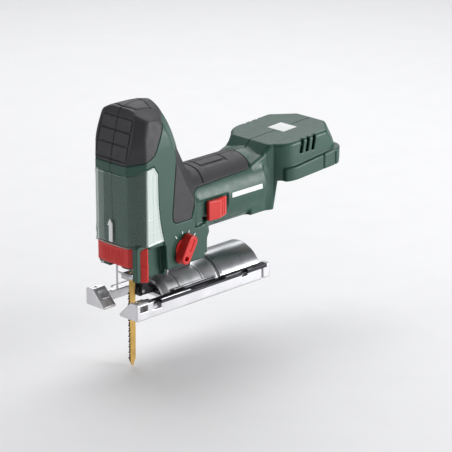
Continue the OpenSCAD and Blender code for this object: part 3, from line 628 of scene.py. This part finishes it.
guard_side = outline(
    [(-90, 57), (-90, 115.8), (-71, 116.2), (-61, 121.6), (-54.4, 123.2), (-50.3, 116.9), (-49.9, 91.5)]
    + [(-48.3, 77.8), (-46.5, 68.5), (-44.2, 60), (-60, 59), (-64, 58.4)],
    0.5,
)
guard_lines = [
    path([(-70, 83.4), (-61.3, 86), (-52.7, 88.8), (-48, 90)]),
    path([(-72, 80.2), (-57.1, 80.5), (-47.6, 81.7)]),
    path([(-72, 69.8), (-61.6, 69.4), (-45.8, 69)]),
    path([(-55, 61), (-55, 119)]),
]
guard_corner = path([(14.4, 61.8), (19.9, 68.2)])
arrow_shape = outline([(-2.4, 60.4), (1.5, 60.4), (1.5, 73.6), (3.1, 73.2), (0.4, 79.4), (-2.4, 75.5)], 0.3)


def guard(x, y, z):
    plan = nose(x, y)
    rim = guard_side(x, z)
    lines = np.minimum.reduce([line(x, z) for line in guard_lines]) - 0.25
    corner = np.maximum(guard_corner(np.abs(y), z) - 0.45, x + 64)
    ridge = 0.4 * step_up(np.minimum(np.maximum(lines, -64 - x), corner), 0.4)
    ridge = ridge + 0.35 * step_up(-(rim + 1.3), 0.4)
    return meet(meet(plan - ridge, -(plan + GUARD_T), 0.2), rim, 0.35)


def guard_arrow(x, y, z):
    return meet(arrow_shape(y, z), np.abs(x - FRONT_X + 0.2) - 0.55, 0.2)


def lever(x, y, z):
    plan = nose(x, y) + 1.9
    ribs = step_up(np.abs(y) - 12, 1) * step_up(np.abs(z - 49) - 5.5, 0.8) * step_up(x - FRONT_X - 5, 1)
    ribs = ribs * (0.5 + 0.5 * np.cos(y * 2 * math.pi / 1.7))
    band = meet(plan + 0.45 * ribs, -(plan + 2.8), 0.5)
    across = (x - y) / math.sqrt(2)
    top = meet(band, np.abs(z - (LEVER_Z0 + LEVER_Z1) / 2) - (LEVER_Z1 - LEVER_Z0) / 2, 0.9)
    top = meet(top, np.maximum(x + 59.6, y - 19.2), 0.6)
    leg = meet(band, np.maximum(np.abs(across + 26.4) - 3.3, y + 20), 0.6)
    leg = meet(leg, np.abs(z - 36) - 7.5, 1.5)
    f = join(top, leg, 0.8)
    px = x - LEVER_PIN[0]
    py = y - LEVER_PIN[1]
    f = join(f, rod(z, px, py, LEVER_Z0, LEVER_Z1, 3.2, 0.4), 0.4)
    return cut(f, rod(z, px, py, 0, 100, LEVER_PIN_R + BORE_GAP))


def knob(x, y, z):
    u, v = turned(x, z, (KNOB_X, KNOB_Z), -30)
    taper = 0.09 * (y + HALF_W + 7)
    bar = np.sqrt(u * u + np.maximum(np.abs(v) - 7.2, 0) ** 2) - 4.85 - taper
    bar = meet(bar, np.abs(y + HALF_W + 3) - 4, 1.0)
    dish = block(u, v, y, -1.1, 1.1, -2, 9, -60, -HALF_W - 6.4, 0.5)
    f = join(bar, rod(y, u, v, -HALF_W + 0.1, -HALF_W + 0.9, 8.5), 0.3)
    f = cut(f, dish, 0.3)
    return cut(f, rod(y, u, v + 7.5, -60, -HALF_W - 1, 2), 0.3)


def selector_marks(x, y, z):
    f = 99.0
    for turn, reach in ((-38, 3), (-8, 2.2), (22, 2.2), (52, 3)):
        u, v = turned(x, z, (KNOB_X, KNOB_Z), -turn)
        f = np.minimum(f, block(u, v, y, -0.45, 0.45, 12.8, 12.8 + reach, -HALF_W - 0.2, -HALF_W + 0.4, 0.15))
    return f


button_plan = outline(
    [(BUTTON_X0, 24), (BUTTON_X1, 24), (BUTTON_X1, HALF_W - 1.4), (20.5, HALF_W + 0.8), (15.6, HALF_W + 2.6),
     (BUTTON_X0, HALF_W + 1.2)],
    0.9,
)


def button(x, y, z):
    side = np.abs(y)
    plan = button_plan(x, side)
    grooves = np.minimum(np.abs(x - 19.4), np.abs(x - 22.6)) - 0.45
    plan = plan + 0.6 * step_up(np.maximum(grooves, np.maximum(25.5 - side, np.abs(z - 73.2) - 7)), 0.4)
    f = meet(plan, np.abs(z - (BUTTON_Z0 + BUTTON_Z1) / 2) - (BUTTON_Z1 - BUTTON_Z0) / 2, 1.3)
    return meet(f, 27.3 - side)


# ---------------------------------------------------------------- base, tube, hood and blade

def on_axis(y, z):
    return np.sqrt(y * y + z * z)


toe_shape = outline(
    [(9, 0), (SOLE_Y, 0), (SOLE_Y, TOE_Z - 1.4), (SOLE_Y - 1.2, TOE_Z), (22, TOE_Z), (9, 1.4)], 0.3
)
GROOVE = 1.0
MARK_PITCH = 4.4
scale_dip = outline([(-17.5, 20), (-17, 13.4), (-13, 11), (22, 11), (26, 13.4), (26.5, 20)])


def base(x, y, z):
    side = np.abs(y)
    f = block(x, y, z, -25, SOLE_X, -SOLE_Y, SOLE_Y, 0, SOLE_T, 0.4)
    f = np.minimum(f, block(x, side, z, -25.5, SOLE_X, 18.7, SOLE_Y, 0, RAIL_Z, 0.6))
    front_z = np.where(y > 0, 9, RAIL_Z).astype(np.float32)
    f = np.minimum(f, np.maximum(block(x, side, z, 1 - SOLE_X, -24, 21, SOLE_Y, 0, 30, 0.6), z - front_z))
    f = join(f, meet(toe_shape(side, z), np.abs(x + SOLE_X - 6.5) - 6.5, 0.4), 0.5)
    f = cut(f, block(x, side, z, -SOLE_X + 3.5, -SOLE_X + 11.5, 10, SOLE_Y + 1, 6.8, 11.8, 0.4), 0.3)
    f = cut(f, rod(z, x + SOLE_X - 5.5, side - 25, 6, 20, 1.3), 0.2)
    for x0, x1, z0 in ((-53, -48.5, 6), (46, 49, 7.5)):
        ramp = (SOLE_Y - 0.28 * (x - x0 + 6) - side) * 0.95
        f = cut(f, np.maximum(ramp, block(x, side, z, x0 - 6, x1, 20, SOLE_Y + 2, z0, 20)), 0.3)
    f = cut(f, block(x, side, z, 65.5, 67.5, SOLE_Y - 3, SOLE_Y + 1, -1, 9), 0.2)
    f = cut(f, np.maximum(scale_dip(x, z), 20.4 - side), 0.3)
    marks = np.abs(np.mod(x + 13, MARK_PITCH) - MARK_PITCH / 2) - 0.3
    marks = np.maximum(np.maximum(marks, np.abs(x - 4.5) - 15.5), np.abs(side - 25.4) - 2.2)
    f = f - 0.35 * step_up(np.maximum(marks, np.maximum(z - 13, 10.4 - z)), 0.4)
    groove = np.maximum(np.abs(side - 24.6) - 3.9, np.abs(x - 8) - 63.5)
    f = f + GROOVE * step_up(np.maximum(groove, 8 - z), 0.5)
    slope = z - np.interp(x, (-25, SOLE_X), (RAIL_Z, RAIL_Z - 0.8)).astype(np.float32)
    f = np.where(x > -24.6, meet(f, slope, 0.4), f)
    seat = rod(x, y, z, TUBE_X0 - 1, 24, TUBE_R + 0.1)
    seat = np.minimum(seat, rod(x, y, z, HOOD_X0, SOLE_X + 2, HOOD_R + 0.1))
    return cut(f, np.maximum(seat, SOLE_T - z))


def tube(x, y, z):
    r = on_axis(y, z)
    stations = (TUBE_X0, TUBE_X0 + 5, 12, HOOD_X0)
    outer = np.interp(x, stations, (TUBE_R - 2.2, TUBE_R, TUBE_R, HOOD_R - 1)).astype(np.float32)
    seams = np.minimum(np.abs(x + 15.7), np.minimum(np.abs(x - 9.8), np.abs(x - 22.8))) - 0.35
    f = meet(r - outer + 0.6 * step_up(seams, 0.4), outer - 3 - r, 0.5)
    f = meet(f, np.abs(x - (TUBE_X0 + HOOD_X0) / 2) - (HOOD_X0 - TUBE_X0) / 2, 0.4)
    return np.maximum(f, SOLE_T - z)


def hood(x, y, z):
    r = on_axis(y, z)
    f = r - HOOD_R + 0.4 * step_up(np.abs(x - HOOD_X0 - 2.2) - 0.35, 0.4)
    f = meet(f, HOOD_X0 - x, 0.5)
    f = cut(f, rod(x, y, z, HOOD_X0 - 5, HOOD_X1 - 15, HOOD_R - 2), 0.3)
    f = cut(f, rod(x, y, z - 13.75, HOOD_X1 - 30, HOOD_X1 + 2, 9.5), 0.4)
    return np.maximum(meet(f, x - HOOD_X1, 0.8), SOLE_T - z)


TEETH = 25
PITCH = 2.3
TEETH_TOP = 13
GULLET_X = BLADE_X0 + 1.5
teeth = [
    p for i in range(TEETH)
    for p in ((GULLET_X, TEETH_TOP - i * PITCH), (BLADE_X0, TEETH_TOP - (i + 0.8) * PITCH))
]
blade_shape = outline(
    [(GULLET_X, 30)] + teeth
    + [(BLADE_X0 + 2.6, BLADE_Z0 + 1.2), (BLADE_X0 + 4, BLADE_Z0), (BLADE_X1 - 0.6, BLADE_Z0 + 6)]
    + [(BLADE_X1, 14), (BLADE_X1, 25.4), (BLADE_X1 - 2, 26.4), (BLADE_X1 - 2, 30)]
)


def blade(x, y, z):
    """Flat blade whose teeth are bent left and right in turn."""
    turn = np.where(np.mod(np.floor((TEETH_TOP - z) / PITCH), 2) < 1, 1.0, -1.0).astype(np.float32)
    bend = 0.35 * turn * np.clip((BLADE_X0 + 1.8 - x) / 1.8, 0, 1)
    hollow = 0.12 * step_up(np.abs(x - PLUNGER_X - 0.6) - 1.2, 0.8) * step_up(np.abs(z + 8) - 28, 4)
    f = np.maximum(blade_shape(x, z), np.abs(y - bend) - 0.62 + hollow)
    return np.maximum(f, z - 29.5)


def clamp(x, y, z):
    f = block(x, y, z, -61, -45.5, -8, 8, 28.4, 34, 1.2)
    f = cut(f, plane(x, z, (-62, 31.6), (-57.5, 27)) * -1, 0.4)
    f = join(f, block(x, y, z, -60, -46, -4.9, 4.9, 24.4, 29, 0.7), 0.5)
    f = f + 0.5 * step_up(np.abs(z - 31.4) - 0.4, 0.4)
    f = cut(f, rod(z, x - PLUNGER_X, y, 32, 60, 4.2))
    return cut(f, block(x, y, z, -58, -48, -0.7, 0.7, 20, 32))


def roller(x, y, z):
    r = np.sqrt((x - ROLLER_X) ** 2 + (z - ROLLER_Z) ** 2)
    groove = 1.0 * step_up(np.abs(y) - 0.8, 0.5)
    return cut(meet(r - 4.6 + groove, np.abs(y) - 2.6, 0.5), rod(y, x - ROLLER_X, z - ROLLER_Z, -4, 4, 1.54))


# ---------------------------------------------------------------- materials

def tree(name):
    """A new material with its shader node and a coordinate node in metres of the object."""
    mat = bpy.data.materials.new(name)
    mat.use_nodes = True
    nodes = mat.node_tree.nodes
    shader = nodes["Principled BSDF"]
    place = nodes.new("ShaderNodeTexCoord")
    return mat, mat.node_tree, shader, place.outputs["Object"]


def noise(nt, place, scale, detail=3.0, rough=0.55, stretch=None):
    """Noise of that many features to the metre; stretch scales the three axes."""
    node = nt.nodes.new("ShaderNodeTexNoise")
    node.inputs["Scale"].default_value = scale
    node.inputs["Detail"].default_value = detail
    node.inputs["Roughness"].default_value = rough
    if stretch:
        mapping = nt.nodes.new("ShaderNodeMapping")
        mapping.inputs["Scale"].default_value = stretch
        nt.links.new(place, mapping.inputs["Vector"])
        place = mapping.outputs["Vector"]
    nt.links.new(place, node.inputs["Vector"])
    return node.outputs["Fac"]


def ramp(nt, fac, stops):
    node = nt.nodes.new("ShaderNodeValToRGB")
    while len(node.color_ramp.elements) < len(stops):
        node.color_ramp.elements.new(0.5)
    for element, (at, colour) in zip(node.color_ramp.elements, stops):
        element.position = at
        element.color = (*colour, 1) if len(colour) == 3 else colour
    nt.links.new(fac, node.inputs["Fac"])
    return node.outputs["Color"]


def remap(nt, fac, lo, hi):
    node = nt.nodes.new("ShaderNodeMapRange")
    node.inputs["From Min"].default_value = 0.3
    node.inputs["From Max"].default_value = 0.7
    node.inputs["To Min"].default_value = lo
    node.inputs["To Max"].default_value = hi
    nt.links.new(fac, node.inputs["Value"])
    return node.outputs["Result"]


def bump(nt, shader, height, strength, depth):
    node = nt.nodes.new("ShaderNodeBump")
    node.inputs["Strength"].default_value = strength
    node.inputs["Distance"].default_value = depth
    nt.links.new(height, node.inputs["Height"])
    nt.links.new(node.outputs["Normal"], shader.inputs["Normal"])


def shaded(colour, k):
    return tuple(min(1.0, c * k) for c in colour)


def worn(name, colour, rough=(0.4, 0.5), grain=2500, depth=0.00003, spread=0.12, metal=0.0,
         stretch=None, strength=0.5):
    """A surface with a fine grain, a slow drift of colour and uneven gloss."""
    mat, nt, shader, place = tree(name)
    drift = noise(nt, place, 28, 4)
    tint = ramp(nt, drift, [(0.3, shaded(colour, 1 - spread)), (0.7, shaded(colour, 1 + spread))])
    nt.links.new(tint, shader.inputs["Base Color"])
    fine = noise(nt, place, grain, 3, 0.6, stretch)
    nt.links.new(remap(nt, noise(nt, place, 160, 5), *rough), shader.inputs["Roughness"])
    bump(nt, shader, fine, strength, depth)
    shader.inputs["Metallic"].default_value = metal
    return mat


GREEN = (0.020, 0.074, 0.053)
RED = (0.62, 0.018, 0.014)

mats = {
    "green": worn("green_plastic", GREEN, (0.34, 0.46), 2200, 0.00004, 0.10, strength=0.35),
    "rubber": worn("rubber_grip", (0.030, 0.030, 0.034), (0.5, 0.62), 3200, 0.00006, 0.18),
    "red": worn("red_plastic", RED, (0.30, 0.42), 2400, 0.00003, 0.08, strength=0.3),
    "cast": worn("cast_metal", (0.66, 0.66, 0.68), (0.36, 0.52), 1500, 0.00005, 0.07, metal=1.0),
    "hood": worn("hood_metal", (0.5, 0.51, 0.53), (0.27, 0.31), 1500, 0.000004, 0.04, metal=1.0,
                 stretch=(0.05, 1, 1), strength=0.2),
    "steel": worn("ground_steel", (0.55, 0.55, 0.57), (0.25, 0.4), 1800, 0.00003, 0.08, metal=1.0,
                  stretch=(1, 1, 0.08)),
    "dark": worn("dark_steel", (0.035, 0.035, 0.038), (0.38, 0.52), 1800, 0.00003, 0.15, metal=0.6),
    "black": worn("black_plastic", (0.012, 0.012, 0.013), (0.4, 0.55), 2200, 0.00004, 0.2),
    "bronze": worn("bronze", (0.52, 0.34, 0.15), (0.32, 0.45), 1500, 0.00003, 0.12, metal=1.0),
    "magnet": worn("magnet", (0.05, 0.05, 0.055), (0.45, 0.6), 1500, 0.00003, 0.15, metal=0.4),
    "brass": worn("brass_contact", (0.72, 0.52, 0.2), (0.2, 0.32), 1500, 0.00002, 0.1, metal=1.0),
    "board": worn("circuit_board", (0.012, 0.12, 0.045), (0.25, 0.4), 900, 0.00005, 0.25),
    "copper": worn("copper", (0.62, 0.27, 0.12), (0.3, 0.42), 5000, 0.0001, 0.15, metal=1.0,
                   stretch=(1, 0.1, 0.1)),
    "white": worn("white_plastic", (0.66, 0.66, 0.63), (0.4, 0.5), 2200, 0.00003, 0.05),
    "print": worn("white_print", (0.85, 0.87, 0.87), (0.45, 0.6), 2500, 0.00002, 0.08),
    "blade": worn("blade_steel", (0.72, 0.46, 0.14), (0.26, 0.4), 1500, 0.00003, 0.14, metal=1.0,
                  stretch=(1, 1, 0.06)),
}


def between(nt, value, lo, hi):
    """1 where the value lies between the two, 0 elsewhere."""
    node = nt.nodes.new("ShaderNodeMath")
    node.operation = "COMPARE"
    node.inputs[1].default_value = (lo + hi) / 2
    node.inputs[2].default_value = (hi - lo) / 2
    nt.links.new(value, node.inputs[0])
    return node.outputs["Value"]


def darkened(mat, colour, *zones):
    """Paints the zone where each (axis, lo, hi) in metres of the object is met."""
    nt = mat.node_tree
    shader = nt.nodes["Principled BSDF"]
    place = nt.nodes["Texture Coordinate"].outputs["Object"]
    split = nt.nodes.new("ShaderNodeSeparateXYZ")
    nt.links.new(place, split.inputs["Vector"])
    mask = None
    for axis, lo, hi in zones:
        value = between(nt, split.outputs[axis], lo, hi)
        if mask is None:
            mask = value
            continue
        both = nt.nodes.new("ShaderNodeMath")
        both.operation = "MULTIPLY"
        nt.links.new(mask, both.inputs[0])
        nt.links.new(value, both.inputs[1])
        mask = both.outputs["Value"]
    mix = nt.nodes.new("ShaderNodeMix")
    mix.data_type = "RGBA"
    nt.links.new(mask, mix.inputs["Factor"])
    nt.links.new(shader.inputs["Base Color"].links[0].from_socket, mix.inputs["A"])
    mix.inputs["B"].default_value = (*colour, 1)
    nt.links.new(mix.outputs["Result"], shader.inputs["Base Color"])
    return mat


# Painted shade: the rail grooves and the upper band of the rail walls are painted near black, standing for
# the shade and dark reflection along the rail tops.
mats["sole"] = darkened(
    worn("sole_metal_painted_shade", (0.66, 0.66, 0.68), (0.36, 0.52), 1500, 0.00005, 0.07, metal=1.0),
    (0.05, 0.05, 0.055), ("Z", 0.0092, 0.01235), ("X", -0.0565, 0.0717),
)
darkened(mats["blade"], (0.09, 0.06, 0.03), ("X", (BLADE_X0 - 1) * MM, (BLADE_X0 + 1.3) * MM))


def clear_plastic():
    """Clear polycarbonate, mostly seen through. A pale, partly opaque layer is a painted sheen: it makes the
    guard bright where it is seen along the wall, and on its wings behind the nose.
    """
    mat, nt, shader, place = tree("clear_guard")
    shader.inputs["Base Color"].default_value = (0.86, 0.95, 0.92, 1)
    shader.inputs["Specular IOR Level"].default_value = 0.9
    shader.inputs["IOR"].default_value = 1.5
    scuff = noise(nt, place, 220, 5)
    nt.links.new(remap(nt, scuff, 0.06, 0.2), shader.inputs["Roughness"])
    # Painted sheen: the alpha rises where the wall is seen edge-on, and on the wings behind x = -60.8 mm.
    facing = nt.nodes.new("ShaderNodeLayerWeight")
    facing.inputs["Blend"].default_value = 0.15
    split = nt.nodes.new("ShaderNodeSeparateXYZ")
    nt.links.new(place, split.inputs["Vector"])
    wing_sheen = nt.nodes.new("ShaderNodeMapRange")
    for field, value in (("From Min", -0.0618), ("From Max", -0.0608), ("To Min", 0.04), ("To Max", 0.62)):
        wing_sheen.inputs[field].default_value = value
    nt.links.new(split.outputs["X"], wing_sheen.inputs["Value"])
    seen = nt.nodes.new("ShaderNodeMath")
    seen.operation = "MAXIMUM"
    nt.links.new(facing.outputs["Fresnel"], seen.inputs[0])
    nt.links.new(wing_sheen.outputs["Result"], seen.inputs[1])
    nt.links.new(seen.outputs["Value"], shader.inputs["Alpha"])
    return mat


mats["clear"] = clear_plastic()

SLOT_LOOK = {
    "green_plastic": "green", "rubber_grip": "rubber", "steel_dark": "dark", "white_print": "print",
    "cast_metal": "cast", "hood_metal": "hood", "bronze": "bronze", "steel_bright": "steel",
    "magnet": "magnet", "black_plastic": "black", "brass_contact": "brass", "circuit_board": "board",
    "copper": "copper", "blade_steel": "blade", "red_plastic": "red", "clear_guard": "clear",
    "dark_steel": "dark", "white_plastic": "white",
}
for part in frame["record"]["subparts"]:
    slots = frame["nodes"][part["node"]].data.materials
    slots.clear()
    slots.append(mats[SLOT_LOOK[part["material_slot"]]])


# ---------------------------------------------------------------- pieces

BOX_LO = (FRONT_X, -FOOT_HALF_W, 30)
BOX_HI = (FOOT_X1, FOOT_HALF_W, TOP_Z)

left = carve("left_housing", left_shell, BOX_LO, (FOOT_X1, 1, TOP_Z), 0.75)
dress(left, "housing", mats["green"], "green_plastic", "housing_left")
right = carve("right_housing", right_shell, (FRONT_X, -1, 30), BOX_HI, 0.75)
dress(right, "housing", mats["green"], "green_plastic", "housing_right")

for side, word in ((-1, "left"), (1, "right")):
    y0, y1 = sorted((0, side * HALF_W))
    piece = carve("head_cap_skin_" + word, one_side(cap, side), (FRONT_X, y0, 120), (-20, y1, TOP_Z), 0.6)
    dress(piece, "housing", mats["rubber"], "rubber_grip", "head_cap_" + word)
    piece = carve("barrel_grip_skin_" + word, one_side(grip, side), (-36, y0, 69), (64, y1, 136), 0.6)
    dress(piece, "housing", mats["rubber"], "rubber_grip", "barrel_grip_" + word)
    y0, y1 = sorted((side * 26, side * (HALF_W + 3)))
    corners = (BUTTON_X0, y0, BUTTON_Z0), (BUTTON_X1, y1, BUTTON_Z1)
    piece = carve("speed_button_" + word, one_side(button, side), *corners, 0.4)
    dress(piece, "slide_switch", mats["red"], "red_plastic", "slide_button_" + word)

# name, field, two corners, cell size, body, look, slot, CAD nodes
PIECES = [
    ("splinter_shield", guard, (FRONT_X - 1, -HALF_W - 1, 56), (-42, HALF_W + 1, 125), 0.55,
     "guard", "clear", "clear_guard", ["chip_guard"]),
    # Painted highlight: the arrow is a clear tab on the guard, and its white colour stands for the light it
    # catches.
    ("shield_arrow_painted_highlight", guard_arrow, (FRONT_X - 1, -3, 60), (FRONT_X + 1, 4, 80), 0.25,
     "guard", "print", "white_print", []),
    ("clamp_lever", lever, (FRONT_X, -HALF_W, 27), (-58, 21, LEVER_Z1), 0.4,
     "lever", "red", "red_plastic", ["blade_lever"]),
    ("orbit_knob", knob, (KNOB_X - 14, -HALF_W - 8, KNOB_Z - 14),
     (KNOB_X + 14, -HALF_W + 1, KNOB_Z + 14), 0.4, "selector", "red", "red_plastic", ["selector_knob"]),
    ("orbit_scale", selector_marks, (KNOB_X - 18, -HALF_W - 1, KNOB_Z - 18),
     (KNOB_X + 18, -HALF_W + 1, KNOB_Z + 18), 0.25, "housing", "print", "white_print", []),
    ("sole_casting", base, (-SOLE_X, -SOLE_Y, 0), (SOLE_X, SOLE_Y, TOE_Z), 0.6,
     "base", "sole", "cast_metal", ["base_plate"]),
    ("tube_casting", tube, (TUBE_X0, -HOOD_R, SOLE_T), (HOOD_X0, HOOD_R, HOOD_R), 0.6,
     "base", "cast", "cast_metal", ["foot_tube"]),
    ("dust_hood", hood, (HOOD_X0, -HOOD_R, SOLE_T), (HOOD_X1, HOOD_R, HOOD_R), 0.6,
     "base", "hood", "hood_metal", ["extraction_hood"]),
    ("toothed_blade", blade, (BLADE_X0, -1.2, BLADE_Z0), (BLADE_X1, 1.2, 30), 0.28,
     "plunger", "blade", "blade_steel", ["saw_blade"]),
    ("blade_clamp", clamp, (-61, -8, 24.4), (-45.5, 8, 34), 0.4,
     "plunger", "steel", "steel_bright", ["clamp_body"]),
    ("grooved_roller", roller, (ROLLER_X - 5, -2.6, ROLLER_Z - 5), (ROLLER_X + 5, 2.6, ROLLER_Z + 5), 0.3,
     "roller", "dark", "dark_steel", ["guide_roller"]),
]
for name, field, lo, hi, h, body_name, look, slot, nodes in PIECES:
    dress(carve(name, field, lo, hi, h), body_name, mats[look], slot, *nodes)


# ---------------------------------------------------------------- floor, lights, camera

FLOOR_GAP = 0.0006
FLOOR_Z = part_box("saw_blade")[0].z - FLOOR_GAP
bpy.ops.mesh.primitive_plane_add(size=12, location=(0, 0, FLOOR_Z))
floor = bpy.context.active_object
floor.name = "floor"
floor.data.materials.append(worn("pale_floor", (0.86, 0.86, 0.87), (0.6, 0.7), 300, 0.00001, 0.01))

world = bpy.data.worlds.new("studio")
bpy.context.scene.world = world
world.use_nodes = True
world.node_tree.nodes["Background"].inputs["Color"].default_value = (0.93, 0.94, 0.96, 1)
world.node_tree.nodes["Background"].inputs["Strength"].default_value = 0.22


def soft_light(name, place, target, size, power):
    lamp = bpy.data.lights.new(name, "AREA")
    lamp.shape = "RECTANGLE"
    lamp.size = size[0]
    lamp.size_y = size[1]
    lamp.energy = power
    obj = bpy.data.objects.new(name, lamp)
    obj.location = place
    obj.rotation_euler = (Vector(target) - Vector(place)).to_track_quat("-Z", "Y").to_euler()
    bpy.context.scene.collection.objects.link(obj)


MIDDLE = (0.03, 0, 0.08)
soft_light("top_light", (0.6, 0.6, 1.2), MIDDLE, (1.6, 1.6), 19)
soft_light("left_light", (-1.5, 0.7, 0.5), MIDDLE, (0.6, 0.9), 6)
soft_light("right_light", (0.85, -1.25, 0.35), MIDDLE, (1.0, 0.6), 21)

bpy.context.scene.view_settings.view_transform = "Standard"

CAMERA_TURN = math.radians(-45)
CAMERA_RISE = math.radians(19)
CAMERA_PLACE = (-1.2646, -1.3184, 0.6839)
BACK = Vector((
    math.sin(CAMERA_TURN) * math.cos(CAMERA_RISE),
    -math.cos(CAMERA_TURN) * math.cos(CAMERA_RISE),
    math.sin(CAMERA_RISE),
))
RIGHT = Vector((0, 0, 1)).cross(BACK).normalized()
UP = BACK.cross(RIGHT)
camera = bpy.data.objects.new("camera", bpy.data.cameras.new("camera"))
camera.data.lens = 190
camera.data.sensor_width = 36
camera.data.clip_end = 30
camera.matrix_world = Matrix.Translation(CAMERA_PLACE) @ Matrix((RIGHT, UP, BACK)).transposed().to_4x4()
bpy.context.scene.collection.objects.link(camera)
bpy.context.scene.camera = camera
